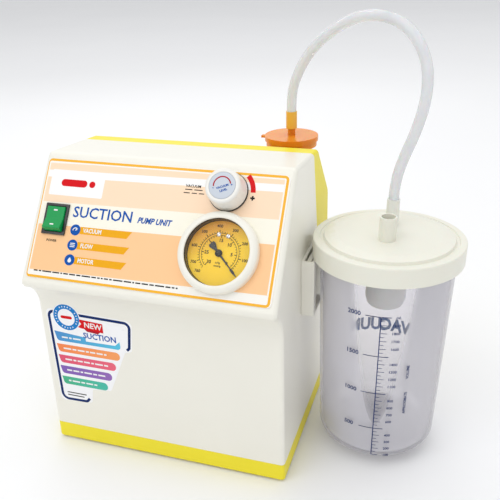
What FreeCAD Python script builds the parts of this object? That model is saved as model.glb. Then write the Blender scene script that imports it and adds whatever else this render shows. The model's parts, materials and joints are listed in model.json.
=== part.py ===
"""Bedside suction pump: a wedge-fronted cabinet with an oil-free piston pump inside,
a collection jar hung on its side, and a clear tube from the bacterial filter to the jar lid.

Cabinet axes: X to the right of the front, Y towards the back, Z up, millimetres.
The origin of the finished part is the middle of its underside, the free tube left out."""

import FreeCAD, Part
import math
import os
import re
import Sketcher
from FreeCAD import Rotation, Vector

SIZES = {
    # cabinet
    "cabinet_width": 261.0, "side_draft": 0.0125, "wall": 3.0, "foot_height": 3.0,
    "base_height": 21.6, "front_foot": 0.6, "front_top": 6.1, "undercut_height": 187.4,
    "lip_reach": 17.6, "lip_height": 200.7, "console_tilt": 36.1, "face_length": 136.0,
    "ridge_back": 150.3, "ridge_drop": 6.5, "back_lean": 3.5, "slope_height": 245.7,
    "cabinet_depth": 206.0, "lip_round": 5.6, "undercut_round": 32.0, "ridge_round": 7.0,
    "slope_round": 14.0, "edge_round": 4.0, "seam_top": 127.8, "seam_foot": 185.0,
    # feet and case screws
    "foot_radius": 10.0, "foot_inset": 26.0, "stud_radius": 3.5, "post_radius": 5.0,
    "post_inset": 10.5, "post_height": 60.0, "screw_radius": 1.9, "screw_head": 4.0,
    # control panel
    "panel_width": 245.0, "panel_low": 10.2, "panel_high": 128.9, "panel_thick": 0.8,
    "panel_corner": 4.0, "gauge_across": 67.9, "gauge_up": 53.0, "bezel_width": 5.8,
    "bezel_height": 9.5, "bezel_round": 4.0, "lip_grip": 1.2, "bezel_lip_thick": 1.4,
    "gauge_radius": 31.6, "gauge_depth": 30.0, "gauge_wall": 1.4, "dial_gap": 0.3,
    "dial_drop": 9.0, "dial_thick": 1.0, "lens_thick": 1.6, "pointer_gap": 3.4,
    "pointer_hub": 3.4, "spindle_radius": 0.8, "barb_radius": 3.5, "barb_length": 12.0,
    "barb_bore": 2.0, "slip_gap": 0.1, "running_gap": 0.04,
    "knob_across": 67.0, "knob_up": 109.8, "knob_radius": 18.0, "knob_top_radius": 16.0,
    "knob_height": 18.0, "knob_wall": 2.4, "cap_radius": 12.2, "cap_thick": 1.6,
    "stem_radius": 3.0, "collar_radius": 18.6, "collar_height": 1.2, "valve_radius": 13.0,
    "valve_depth": 34.0, "valve_neck": 6.0,
    "switch_across": -101.9, "switch_up": 68.7, "switch_width": 25.0, "switch_length": 30.5,
    "switch_depth": 26.0, "switch_flange": 1.8, "switch_rim": 1.8, "switch_wall": 1.0,
    "rocker_gap": 0.3, "rocker_lean": 10.0, "rocker_dish": 12.0, "rocker_rise": 3.2,
    # piston pump and its motor
    "motor_foot": -61.0, "motor_length": 72.0, "motor_radius": 45.0, "motor_wall": 2.0,
    "cap_length": 8.0, "shaft_radius": 5.0, "bearing_radius": 11.0, "bearing_width": 6.0,
    "pump_back": 105.0, "pump_height": 84.0, "rotor_radius": 24.0, "rotor_gap": 0.6,
    "stator_length": 48.0, "fan_radius": 37.0, "fan_width": 13.0, "fan_gap": 4.0,
    "fan_hub": 10.0, "blade_thick": 2.0, "crank_reach": 30.0, "crank_length": 60.0,
    "crank_radius": 35.0, "crank_wall": 4.0, "cover_thick": 3.0, "throw": 3.5,
    "eccentric_radius": 12.0, "rod_eye": 20.0, "rod_eye_wall": 5.0, "rod_width": 10.0,
    "bore_radius": 20.0, "cylinder_wall": 4.0, "cylinder_height": 32.0, "deck_height": 39.0,
    "piston_height": 52.0, "piston_thick": 7.0, "seal_width": 1.6, "seal_height": 3.5,
    "head_width": 56.0, "head_height": 18.0, "valve_plate_thick": 4.0, "head_pitch": 23.0,
    "port_pitch": 12.0, "head_screw": 2.0, "head_screw_head": 3.6,
    "mount_radius": 9.0, "mount_across": 52.0, "mount_deep": 36.0, "tray_thick": 2.5,
    "tray_gap": 4.0, "hose_radius": 3.5, "hose_bore": 2.0,
    "muffler_radius": 13.0, "muffler_length": 46.0, "muffler_back": 172.0,
    "muffler_height": 30.0,
    # mains side
    "inlet_across": -78.0, "inlet_height": 48.0, "inlet_width": 27.4, "inlet_tall": 20.0,
    "inlet_deep": 22.0, "inlet_flange": 2.0, "inlet_rim": 5.0, "inlet_wall": 1.6,
    "inlet_socket": 17.0, "inlet_pin": 11.5, "fuse_across": -38.0, "fuse_radius": 6.2,
    "fuse_depth": 30.0, "fuse_head": 8.5, "capacitor_radius": 17.0, "capacitor_height": 62.0,
    "capacitor_across": -100.0, "capacitor_back": 40.0,
    # jar, lid and hanging bracket
    "lid_gap": 6.2, "jar_back": 106.2, "jar_foot": 13.0, "jar_foot_radius": 60.9,
    "jar_rim_radius": 65.6, "jar_wall": 3.0, "jar_foot_round": 11.0, "jar_bead": 2.0,
    "lid_slack": 3.8, "lid_top": 236.5, "lid_skirt": 19.1, "lid_wall": 3.0,
    "seal_thick": 3.5, "lid_rise": 4.2, "groove_inset": 3.1, "plateau_radius": 49.0,
    "port_offset": 18.5, "port_radius": 8.0, "port_bore": 6.5, "port_height": 23.0,
    "spigot_radius": 4.4, "spigot_bore": 2.8, "spigot_height": 21.0, "connector_radius": 6.2,
    "connector_lift": 4.3, "connector_length": 22.6,
    "cage_offset": 9.5, "cage_radius": 21.0, "cage_depth": 36.0, "cage_wall": 1.6,
    "cage_slot": 9.0, "float_radius": 16.5, "float_height": 17.0, "float_rest": 0.5,
    "bracket_foot": 156.0, "bracket_height": 59.5, "bracket_reach": 13.6,
    "bracket_width": 66.0, "bracket_wall": 3.0, "bracket_mouth": 48.0, "hanger_gap": 1.6,
    "hanger_width": 40.0, "hanger_foot": 174.6, "bracket_screw": 1.9,
    "bracket_screw_head": 3.6,
    # bacterial filter and tube
    "filter_across": 87.7, "filter_back": 192.0, "filter_radius": 28.5, "filter_foot": 295.0,
    "filter_base_height": 5.5, "filter_top_height": 5.4, "filter_wall": 1.6,
    "filter_inset": 1.5, "membrane_thick": 1.0, "neck_radius": 4.1, "neck_length": 20.0,
    "sleeve_radius": 5.8, "sleeve_foot": 312.9, "sleeve_top": 330.8, "tab_reach": 33.1,
    "port_stem": 5.0, "port_stem_foot": 240.0, "port_stem_top": 284.0, "port_boss": 9.0,
    "port_boss_top": 274.0, "socket_radius": 4.0, "socket_depth": 8.0,
    "manifold_radius": 6.5, "manifold_height": 18.0, "tube_radius": 5.0,
    # where the middle of the finished part lies in cabinet axes, measured below
    "origin_x": 0.0, "origin_y": 0.0,
}

doc = FreeCAD.newDocument("suction_pump")
sheet = doc.addObject("Spreadsheet::Sheet", "sizes")
for row, (alias, number) in enumerate(SIZES.items(), 1):
    sheet.set(f"A{row}", alias)
    sheet.set(f"B{row}", str(number))
    sheet.setAlias(f"B{row}", alias)
doc.recompute()

NAMES = re.compile(r"\b(" + "|".join(SIZES) + r")\b")
NODES = {}
FREE_TUBE = ("tube_pump_side", "tube_jar_side")

# places that several pieces share, as expressions on the sheet
LIP_ANGLE = "(90 - console_tilt)"
FACE_TOP_Y = "(face_length * sin(console_tilt) - lip_reach)"
FACE_TOP_Z = "(lip_height + face_length * cos(console_tilt))"
FLOOR_TOP = "(foot_height + wall)"
HALF = "(cabinet_width / 2)"
LID_RADIUS = "(jar_rim_radius + lid_slack + lid_wall)"
JAR_ACROSS = f"({HALF} - side_draft * lid_top + lid_gap + {LID_RADIUS})"
BRACKET_TOP = "(bracket_foot + bracket_height)"
BRACKET_FACE = f"({HALF} - side_draft * {BRACKET_TOP} + bracket_reach)"
REAR_LEAN = "(atan(back_lean / (slope_height - foot_height)))"
LID_UNDER = "(lid_top - lid_wall)"
JAR_RIM = f"({LID_UNDER} - seal_thick)"
PLATEAU = "(lid_top + lid_rise)"
CONNECTOR_TOP = f"({PLATEAU} + connector_lift + connector_length)"
FILTER_SEAM = "(filter_foot + filter_base_height)"
FILTER_ROOF = f"({FILTER_SEAM} + filter_top_height)"
MOTOR_END = "(motor_foot + motor_length)"
CRANK_START = f"({MOTOR_END} + cap_length)"
CRANK_MID = f"({CRANK_START} + crank_reach)"
CRANK_END = f"({CRANK_START} + crank_length)"
CYLINDER_TOP = "(deck_height + cylinder_height)"
HEAD_FOOT = f"({CYLINDER_TOP} + valve_plate_thick)"
HEAD_TOP = f"({HEAD_FOOT} + head_height)"
TRAY_FOOT = "(pump_height - motor_radius - tray_gap - tray_thick)"
PANEL_FACE = "panel_thick"


def tied(expression):
    """Point an expression at the sheet's aliases."""
    return NAMES.sub(r"sizes.\1", str(expression))


def bind(thing, **ties):
    for name, expression in ties.items():
        thing.setExpression(name.replace("__", "."), tied(expression))
    return thing


def moved(thing, at=(0, 0, 0), turn=None):
    """Place a piece or a tool inside its own frame; turn is (axis, degrees expression)."""
    if turn is not None:
        thing.Placement = FreeCAD.Placement(Vector(), Rotation(Vector(*turn[0]), 1))
        bind(thing, Placement__Rotation__Angle=turn[1])
    bind(thing, Placement__Base__x=at[0], Placement__Base__y=at[1], Placement__Base__z=at[2])
    return thing


ALONG_X = ((0, 1, 0), "90")
ALONG_Y = ((1, 0, 0), "-90")


def cylinder(name, radius, height, at=(0, 0, 0), turn=None):
    return moved(bind(doc.addObject("Part::Cylinder", name), Radius=radius, Height=height), at, turn)


def cone(name, low, high, height, at=(0, 0, 0), turn=None):
    solid = doc.addObject("Part::Cone", name)
    return moved(bind(solid, Radius1=low, Radius2=high, Height=height), at, turn)


def box(name, length, width, height, at=(0, 0, 0), turn=None):
    solid = doc.addObject("Part::Box", name)
    return moved(bind(solid, Length=length, Width=width, Height=height), at, turn)


def centred_box(name, length, width, height, at=(0, 0, 0)):
    corner = (f"{at[0]} - ({length}) / 2", f"{at[1]} - ({width}) / 2", at[2])
    return box(name, length, width, height, corner)


def torus(name, ring, section, at=(0, 0, 0)):
    return moved(bind(doc.addObject("Part::Torus", name), Radius1=ring, Radius2=section), at)


def sketch(body, name, plane, outline):
    """A closed outline of straight runs, every corner tied to the sheet."""
    drawn = body.newObject("Sketcher::SketchObject", name)
    base = [feature for feature in body.Origin.OriginFeatures if feature.Role == plane][0]
    drawn.AttachmentSupport = [(base, "")]
    drawn.MapMode = "FlatFace"
    count = len(outline)
    ring = [Vector(math.cos(k * math.tau / count), math.sin(k * math.tau / count)) * 50 for k in range(count)]
    for k in range(count):
        drawn.addGeometry(Part.LineSegment(ring[k], ring[(k + 1) % count]), False)
    for k in range(count):
        drawn.addConstraint(Sketcher.Constraint("Coincident", k, 2, (k + 1) % count, 1))
    for k, (across, up) in enumerate(outline):
        for kind, start, place in (("DistanceX", ring[k].x, across), ("DistanceY", ring[k].y, up)):
            index = drawn.addConstraint(Sketcher.Constraint(kind, -1, 1, k, 1, start))
            drawn.setExpression(f"Constraints[{index}]", tied(place))
    return drawn


def turned(name, outline, at=(0, 0, 0), turn=None):
    """A body turned about its own Z axis from a (radius, height) outline."""
    body = doc.addObject("PartDesign::Body", name)
    drawn = sketch(body, name + "_outline", "XZ_Plane", outline)
    feature = body.newObject("PartDesign::Revolution", name + "_turn")
    feature.Profile = drawn
    feature.ReferenceAxis = (drawn, ["V_Axis"])
    feature.Angle = 360
    return moved(body, at, turn)


def padded(name, plane, outline, depth, at=(0, 0, 0), turn=None, middle=True):
    """A body padded from an outline on one of its origin planes."""
    body = doc.addObject("PartDesign::Body", name)
    drawn = sketch(body, name + "_outline", plane, outline)
    feature = body.newObject("PartDesign::Pad", name + "_pad")
    feature.Profile = drawn
    feature.Midplane = middle
    bind(feature, Length=depth)
    return moved(body, at, turn)


def rectangle(width, height):
    return [(f"-({width}) / 2", f"-({height}) / 2"), (f"({width}) / 2", f"-({height}) / 2"),
            (f"({width}) / 2", f"({height}) / 2"), (f"-({width}) / 2", f"({height}) / 2")]


def fuse(name, *pieces):
    joined = doc.addObject("Part::MultiFuse", name)
    joined.Shapes = list(pieces)
    return joined


def cut(name, base, *tools):
    """Base less its tools, which are joined first when there are several."""
    result = doc.addObject("Part::Cut", name)
    result.Base = base
    result.Tool = tools[0] if len(tools) == 1 else fuse(name + "_tools", *tools)
    return result


def common(name, first, second):
    result = doc.addObject("Part::Common", name)
    result.Base = first
    result.Tool = second
    return result


def rounded(name, base, radius_of):
    """Fillet each edge to the radius that radius_of(edge, its middle) gives, if any."""
    doc.recompute()
    result = doc.addObject("Part::Fillet", name)
    result.Base = base
    chosen = []
    for index, edge in enumerate(base.Shape.Edges, 1):
        middle = edge.valueAt((edge.FirstParameter + edge.LastParameter) / 2)
        size = radius_of(edge, middle)
        if size:
            chosen.append((index, size, size))
    result.Edges = chosen
    return result


def group(name, *pieces):
    """Separate solids that share one node."""
    bundle = doc.addObject("Part::Compound", name)
    bundle.Links = list(pieces)
    return bundle


def node(label, shape, at=("0", "0", "0"), turn=None):
    """Name a finished piece and set it in the part's frame."""
    shape.Label = label
    moved(shape, (f"{at[0]} - origin_x", f"{at[1]} - origin_y", at[2]), turn)
    NODES[label] = shape
    return shape


def console_at(across, up, out="0"):
    """A place on the sloping console, in cabinet axes."""
    return (across, f"-lip_reach + ({up}) * sin(console_tilt) - ({out}) * cos(console_tilt)",
            f"lip_height + ({up}) * cos(console_tilt) + ({out}) * sin(console_tilt)")


def rear_at(across, height):
    """A place on the back wall, which leans in a little, in cabinet axes."""
    return (across, f"cabinet_depth - ({height} - foot_height) * tan({REAR_LEAN})", height)


ON_CONSOLE = ((1, 0, 0), LIP_ANGLE)
ON_REAR = ((1, 0, 0), f"{REAR_LEAN} - 90 deg")


def console_node(label, shape, across="0", up="0"):
    """A piece drawn with X across the console, Y up it and Z out of it."""
    return node(label, shape, console_at(across, up), ON_CONSOLE)


def pump_node(label, shape):
    """A piece of the motor and pump, drawn about the shaft's axis."""
    return node(label, shape, ("0", "pump_back", "pump_height"))


def jar_node(label, shape):
    return node(label, shape, (JAR_ACROSS, "jar_back", "0"))


def filter_node(label, shape):
    return node(label, shape, ("filter_across", "filter_back", "0"))


def bent_wire(points):
    """Straight runs joined by tangent arcs, each as large as its two runs allow."""
    spots = [Vector(*point) for point in points]
    edges, radii, start = [], [], spots[0]
    for before, corner, after in zip(spots, spots[1:], spots[2:]):
        into, out = corner - before, after - corner
        reach = 0.45 * min(into.Length, out.Length)
        half_turn = into.getAngle(out) / 2
        radii.append(reach / math.tan(half_turn))
        into.normalize()
        out.normalize()
        enter, leave = corner - into * reach, corner + out * reach
        bisector = out - into
        bisector.normalize()
        centre = corner + bisector * (radii[-1] / math.cos(half_turn))
        middle = centre - bisector * radii[-1]
        edges.append(Part.LineSegment(start, enter).toShape())
        edges.append(Part.Arc(enter, middle, leave).toShape())
        start = leave
    edges.append(Part.LineSegment(start, spots[-1]).toShape())
    return Part.Wire(edges), radii


def swept(points, radius, bore=0.0):
    wire, radii = bent_wire(points)
    direction = Vector(*points[1]) - Vector(*points[0])
    outer = Part.Wire(Part.makeCircle(radius, Vector(*points[0]), direction))
    solid = wire.makePipeShell([outer], True, True)
    expected = wire.Length * math.pi * radius ** 2
    if abs(solid.Volume / expected - 1) > 0.01:
        raise ValueError("a swept tube lost its volume")
    if bore:
        inner = Part.Wire(Part.makeCircle(bore, Vector(*points[0]), direction))
        solid = solid.cut(wire.makePipeShell([inner], True, True))
    return solid, radii


def feature(name, shape):
    made = doc.addObject("Part::Feature", name)
    made.Shape = shape
    return made


# ---------------------------------------------------------------- cabinet shells
def cabinet_profile(name):
    """The side outline, padded wider than the cabinet."""
    outline = [
        ("front_foot", "foot_height"), ("front_top", "undercut_height"),
        ("-lip_reach", "lip_height"), (FACE_TOP_Y, FACE_TOP_Z),
        ("ridge_back", f"{FACE_TOP_Z} - ridge_drop"), ("cabinet_depth - back_lean", "slope_height"),
        ("cabinet_depth", "foot_height"),
    ]
    return padded(name, "YZ_Plane", outline, "cabinet_width * 1.2")


def cabinet_front_view(name):
    """The slightly tapering outline seen from the front, padded through."""
    low, high = "(cabinet_width / 2)", "(cabinet_width / 2 - side_draft * 400)"
    outline = [(f"-{low}", "0"), (low, "0"), (high, "400"), (f"-{high}", "400")]
    return padded(name, "XZ_Plane", outline, "cabinet_depth * 4")


def along_x(edge):
    return edge.Curve.TypeId == "Part::GeomLine" and abs(edge.tangentAt(edge.FirstParameter).x) > 0.99


def near(middle, y, z):
    return math.hypot(middle.y - y, middle.z - z) < 3


block = common("cabinet_block", cabinet_profile("cabinet_profile"), cabinet_front_view("cabinet_front_view"))
tilt = math.radians(sheet.console_tilt)
face_top_y = sheet.face_length * math.sin(tilt) - sheet.lip_reach
face_top_z = sheet.lip_height + sheet.face_length * math.cos(tilt)
CORNERS = (
    (sheet.front_top, sheet.undercut_height, sheet.undercut_round),
    (-sheet.lip_reach, sheet.lip_height, sheet.lip_round),
    (face_top_y, face_top_z, sheet.ridge_round),
    (sheet.ridge_back, face_top_z - sheet.ridge_drop, sheet.ridge_round),
    (sheet.cabinet_depth - sheet.back_lean, sheet.slope_height, sheet.slope_round),
)


def cabinet_round(edge, middle):
    """The radius that an edge of the plain cabinet block gets, or none."""
    if along_x(edge):
        return next((size for y, z, size in CORNERS if near(middle, y, z)), None)
    return sheet.edge_round if middle.z > sheet.foot_height + 0.01 else None


body_block = rounded("cabinet_body", block, cabinet_round)
doc.recompute()
hollow = doc.addObject("Part::Thickness", "cabinet_hollow")
hollow.Faces = (body_block, [
    f"Face{index}" for index, face in enumerate(body_block.Shape.Faces, 1)
    if abs(face.CenterOfMass.z - sheet.foot_height) < 0.01
])
hollow.Value = -sheet.wall
hollow.Join = 2

SEAM_SLOPE = f"((seam_foot - seam_top) / ({FACE_TOP_Z} - base_height))"
SEAM_HIGH = f"seam_top - 60 * {SEAM_SLOPE}"


def seam_region(name, far):
    """Everything above the base on one side of the slanted seam."""
    outline = [(far, "base_height"), ("seam_foot", "base_height"),
               (SEAM_HIGH, f"{FACE_TOP_Z} + 60"), (far, f"{FACE_TOP_Z} + 60")]
    return padded(name, "YZ_Plane", outline, "cabinet_width * 1.5")


def corner_places(inset):
    """Four places near the cabinet's corners, as expressions."""
    return [(f"{side} * ({HALF} - {inset})", back) for side in (-1, 1)
            for back in (f"{inset} + front_foot", f"cabinet_depth - {inset}")]


def corner_set(name, inset, make):
    return [make(f"{name}_{k}", x, y) for k, (x, y) in enumerate(corner_places(inset), 1)]


def post(name, x, y):
    """A screw boss with a rib that ties it to the side wall."""
    side = 1 if x.startswith("1") else -1
    rod = cylinder(name + "_rod", "post_radius", f"post_height - {FLOOR_TOP}", (x, y, FLOOR_TOP))
    reach = "post_inset - wall * 0.6"
    start = x if side > 0 else f"{x} - ({reach})"
    rib = box(name + "_rib", reach, "wall", "post_height - base_height - 2",
              (start, f"{y} - wall / 2", "base_height + 2"))
    return fuse(name, rod, rib)


posts = corner_set("screw_post", "post_inset", post)
front_posts, rear_posts = posts[::2], posts[1::2]


def post_bore(name, x, y):
    return cylinder(name, "screw_radius + slip_gap", "post_height", (x, y, "0"))


def console_tool(shape, across, up, out):
    return moved(shape, console_at(across, up, out), ON_CONSOLE)


def console_box(name, width, length, depth, across, up):
    """A straight hole through the console, centred on a place."""
    hole = padded(name, "XY_Plane", rectangle(width, length), depth)
    return console_tool(hole, across, up, "0")


gauge_hole = console_tool(cylinder("gauge_hole", "gauge_radius + slip_gap", "60"),
                          "gauge_across", "gauge_up", "-30")
valve_hole = console_tool(cylinder("valve_hole", "valve_neck + slip_gap", "60"),
                          "knob_across", "knob_up", "-30")
switch_hole = console_box("switch_hole", "switch_width - 2 * switch_rim + 2 * slip_gap",
                          "switch_length - 2 * switch_rim + 2 * slip_gap", "60",
                          "switch_across", "switch_up")
BRACKET_SCREWS = ("bracket_foot + bracket_height * 0.3", "bracket_foot + bracket_height * 0.75")
bracket_holes = [
    cylinder(f"bracket_hole_{k}", "bracket_screw + slip_gap", "60",
             (f"{BRACKET_FACE} - 50", "jar_back", height), ALONG_X)
    for k, height in enumerate(BRACKET_SCREWS, 1)
]
front_wall = common("front_wall", hollow, seam_region("front_region", "-200"))
front_shell = cut("front_shell_body", fuse("front_shell_solid", front_wall, *front_posts),
                  *corner_set("front_bore", "post_inset", post_bore), gauge_hole, valve_hole,
                  switch_hole, *bracket_holes)
node("front_shell", front_shell)

inlet_hole = moved(padded("inlet_hole", "XY_Plane", rectangle(
    "inlet_width + 2 * slip_gap", "inlet_tall + 2 * slip_gap"), "40"),
    rear_at("inlet_across", "inlet_height"), ON_REAR)
fuse_hole = cylinder("fuse_bore", "fuse_radius + slip_gap", "60",
                     ("fuse_across", "cabinet_depth - 30", "inlet_height"), ALONG_Y)
stem_hole = cylinder("stem_hole", "port_stem + slip_gap", "60",
                     ("filter_across", "filter_back", "filter_foot - 60"))
VENT_COUNT, VENT_PITCH = 8, 9.0
vents = [
    box(f"vent_{k}", "46", "30", "3.4", ("-100", "cabinet_depth - 20", f"{100 + k * VENT_PITCH}"))
    for k in range(VENT_COUNT)
]
rear_wall = common("rear_wall", hollow, seam_region("rear_region", "400"))
rear_shell = cut("rear_shell_body", fuse("rear_shell_solid", rear_wall, *rear_posts),
                 *corner_set("rear_bore", "post_inset", post_bore), inlet_hole, fuse_hole,
                 stem_hole, *vents)
node("rear_shell", rear_shell)

base_ring = common("base_ring", hollow, box(
    "base_region", "cabinet_width * 2", "cabinet_depth * 2", "base_height",
    ("-cabinet_width", "-cabinet_depth / 2", "0")))
base_floor = common("base_floor", body_block, box(
    "floor_region", "cabinet_width * 2", "cabinet_depth * 2", FLOOR_TOP,
    ("-cabinet_width", "-cabinet_depth / 2", "0")))


def foot_bore(name, x, y):
    return cylinder(name, "stud_radius", "20", (x, y, "0"))


base_tray = cut("base_tray_body", fuse("base_tray_solid", base_ring, base_floor),
                *corner_set("base_bore", "post_inset", post_bore),
                *corner_set("foot_bore", "foot_inset", foot_bore))
node("base_tray", base_tray)


def foot(name, x, y):
    pad = cylinder(name + "_pad", "foot_radius", "foot_height", (x, y, "0"))
    return fuse(name, pad, cylinder(name + "_stud", "stud_radius", FLOOR_TOP, (x, y, "0")))


def case_screw(name, x, y):
    head = cylinder(name + "_head", "screw_head", "foot_height - 1.2", (x, y, "1.2"))
    shank = cylinder(name + "_shank", "screw_radius", "post_height * 0.6", (x, y, "1.2"))
    return fuse(name, head, shank)


node("rubber_feet", group("feet", *corner_set("foot", "foot_inset", foot)))
node("case_screws", group("screws", *corner_set("case_screw", "post_inset", case_screw)))


# ---------------------------------------------------------------- console
def barb(name, foot_z, length="barb_length", at=("0", "0")):
    """A hose barb that hangs down from a height in its piece's own frame."""
    return cylinder(name, "barb_radius", length, (at[0], at[1], f"{foot_z} - {length}"))


plate = rounded("panel_plate", padded(
    "panel_sheet", "XY_Plane", rectangle("panel_width", "panel_high - panel_low"),
    "panel_thick", middle=False),
    lambda edge, middle: sheet.panel_corner if abs(edge.tangentAt(0).z) > 0.99 else None)
PANEL_MID = "(panel_low + (panel_high - panel_low) / 2)"


def panel_cutter(shape, across, up):
    return moved(shape, (across, f"({up}) - {PANEL_MID}", "-5"))


panel = cut(
    "panel_body", plate,
    panel_cutter(cylinder("panel_gauge", "gauge_radius + slip_gap", "20"), "gauge_across", "gauge_up"),
    panel_cutter(cylinder("panel_valve", "valve_neck + slip_gap", "20"), "knob_across", "knob_up"),
    panel_cutter(padded("panel_switch", "XY_Plane", rectangle(
        "switch_width - 2 * switch_rim + 2 * slip_gap",
        "switch_length - 2 * switch_rim + 2 * slip_gap"), "20"), "switch_across", "switch_up"))
console_node("control_panel", panel, "0", PANEL_MID)

BEZEL_TOP = "(panel_thick + bezel_height)"
LENS_TOP = f"({BEZEL_TOP} - bezel_lip_thick)"
BEZEL_RADIUS = "(gauge_radius + bezel_width)"
LIP_RADIUS = "(gauge_radius - lip_grip)"
DIAL_RADIUS = "(gauge_radius - gauge_wall - dial_gap)"
POINTER_REACH = f"({DIAL_RADIUS} - pointer_gap)"
POINTER_TAIL = f"(-0.42 * {POINTER_REACH})"
LENS_FOOT = f"({LENS_TOP} - lens_thick)"
DIAL_TOP = f"({BEZEL_TOP} - dial_drop)"
DIAL_FOOT = f"({DIAL_TOP} - dial_thick)"


def gauge_node(label, shape):
    return console_node(label, shape, "gauge_across", "gauge_up")


def knob_node(label, shape):
    return console_node(label, shape, "knob_across", "knob_up")


def switch_node(label, shape, turn=ON_CONSOLE):
    return node(label, shape, console_at("switch_across", "switch_up"), turn)


case_cup = turned("gauge_cup", [
    ("barb_bore", "-gauge_depth - barb_length"), ("barb_radius", "-gauge_depth - barb_length"),
    ("barb_radius", "-gauge_depth"), ("gauge_radius", "-gauge_depth"), ("gauge_radius", LENS_FOOT),
    ("gauge_radius - gauge_wall", LENS_FOOT), ("gauge_radius - gauge_wall", "-gauge_depth + 2"),
    ("barb_bore", "-gauge_depth + 2")])
gauge_node("gauge_case", case_cup)
bezel_ring = turned("bezel_ring", [
    ("gauge_radius", PANEL_FACE), (BEZEL_RADIUS, PANEL_FACE), (BEZEL_RADIUS, BEZEL_TOP),
    (LIP_RADIUS, BEZEL_TOP), (LIP_RADIUS, LENS_TOP), ("gauge_radius", LENS_TOP)])
bezel = rounded("bezel_soft", bezel_ring, lambda edge, middle: (
    sheet.bezel_round if middle.z > sheet.bezel_height
    and edge.Length > (sheet.gauge_radius + sheet.bezel_width) * 6 else None))
gauge_node("gauge_bezel", group("bezel", bezel))
gauge_node("gauge_lens", group("lens", cylinder(
    "lens_disc", "gauge_radius", "lens_thick", ("0", "0", LENS_FOOT))))
gauge_node("gauge_dial", turned("dial_disc", [
    ("pointer_hub * 0.6", DIAL_FOOT), (DIAL_RADIUS, DIAL_FOOT), (DIAL_RADIUS, DIAL_TOP),
    ("pointer_hub * 0.6", DIAL_TOP)]))
spring_tube = torus("spring_tube", "gauge_radius * 0.62", "gauge_radius * 0.1",
                    ("0", "0", "-gauge_depth * 0.5"))
bind(spring_tube, Angle3="270")
MOVEMENT_FOOT = ("0", "0", "-gauge_depth + 2")
movement = cut("movement_body", fuse(
    "movement_solid", spring_tube,
    centred_box("movement_block", "gauge_radius * 0.5", "gauge_radius * 0.42",
                "gauge_depth * 0.6 - 2", MOVEMENT_FOOT),
    cylinder("movement_post", "pointer_hub", f"{DIAL_FOOT} + gauge_depth - 2", MOVEMENT_FOOT),
    centred_box("movement_arm", "gauge_radius * 0.3", "gauge_radius * 0.62", "3",
                ("gauge_radius * 0.1", "gauge_radius * 0.31", "-gauge_depth * 0.55"))),
    cylinder("movement_bore", "spindle_radius + running_gap", "gauge_depth",
             ("0", "0", "-gauge_depth * 0.6")),
    cylinder("movement_port", "barb_bore", "4", ("0", "0", "-gauge_depth")))
gauge_node("bourdon_tube", movement)

POINTER_FOOT = f"({DIAL_TOP} + 1)"
blade = padded("pointer_blade", "XY_Plane", [
    (POINTER_TAIL, "-pointer_hub * 0.75"), ("0", "-0.9"), (POINTER_REACH, "-0.25"),
    (POINTER_REACH, "0.25"), ("0", "0.9"), (POINTER_TAIL, "pointer_hub * 0.75")],
    "0.7", ("0", "0", POINTER_FOOT), ((0, 0, 1), "-45"), middle=False)
pointer = fuse(
    "pointer_solid", blade,
    cylinder("pointer_boss", "pointer_hub", "1.4", ("0", "0", POINTER_FOOT)),
    cylinder("pointer_spindle", "spindle_radius", f"{POINTER_FOOT} + gauge_depth * 0.5",
             ("0", "0", "-gauge_depth * 0.5")))
gauge_node("gauge_pointer", pointer)

KNOB_FOOT = f"({PANEL_FACE} + collar_height + 0.4)"
KNOB_TOP = f"({KNOB_FOOT} + knob_height)"
KNOB_RECESS = f"{KNOB_FOOT} + knob_height * 0.25"
KNOB_WEB = f"{KNOB_FOOT} + knob_height * 0.6"
knob_node("knob_collar", turned("collar_ring", [
    ("valve_neck + slip_gap", PANEL_FACE), ("collar_radius", PANEL_FACE),
    ("collar_radius", f"{PANEL_FACE} + collar_height"),
    ("valve_neck + slip_gap", f"{PANEL_FACE} + collar_height")]))
knob_shell = rounded("knob_soft", turned("knob_turned", [
    ("stem_radius", KNOB_RECESS), ("valve_neck + 1", KNOB_RECESS), ("valve_neck + 1", KNOB_WEB),
    ("knob_radius - knob_wall", KNOB_WEB), ("knob_radius - knob_wall", KNOB_FOOT),
    ("knob_radius", KNOB_FOOT), ("knob_top_radius", KNOB_TOP), ("cap_radius + slip_gap", KNOB_TOP),
    ("cap_radius + slip_gap", f"{KNOB_TOP} - cap_thick"), ("stem_radius", f"{KNOB_TOP} - cap_thick")]),
    lambda edge, middle: (1.6 if middle.z > sheet.knob_height and edge.Length > sheet.knob_top_radius * 6
                          else None))
knob_node("vacuum_knob", group("knob", knob_shell))
knob_node("knob_cap", group("cap", cylinder("cap_disc", "cap_radius", "cap_thick + 0.3",
                                            ("0", "0", f"{KNOB_TOP} - cap_thick"))))
knob_node("regulator_stem", group("stem", cylinder(
    "stem_rod", "stem_radius", f"{KNOB_TOP} - cap_thick + valve_depth * 0.6",
    ("0", "0", "-valve_depth * 0.6"))))
knob_node("regulator_body", turned("valve_turned", [
    ("barb_bore", "-valve_depth - barb_length"), ("barb_radius", "-valve_depth - barb_length"),
    ("barb_radius", "-valve_depth"), ("valve_radius", "-valve_depth"), ("valve_radius", "-wall"),
    ("valve_neck", "-wall"), ("valve_neck", f"{PANEL_FACE} + collar_height"),
    ("stem_radius + running_gap", f"{PANEL_FACE} + collar_height"),
    ("stem_radius + running_gap", "-valve_depth * 0.7"), ("barb_bore", "-valve_depth * 0.7")]))

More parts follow.
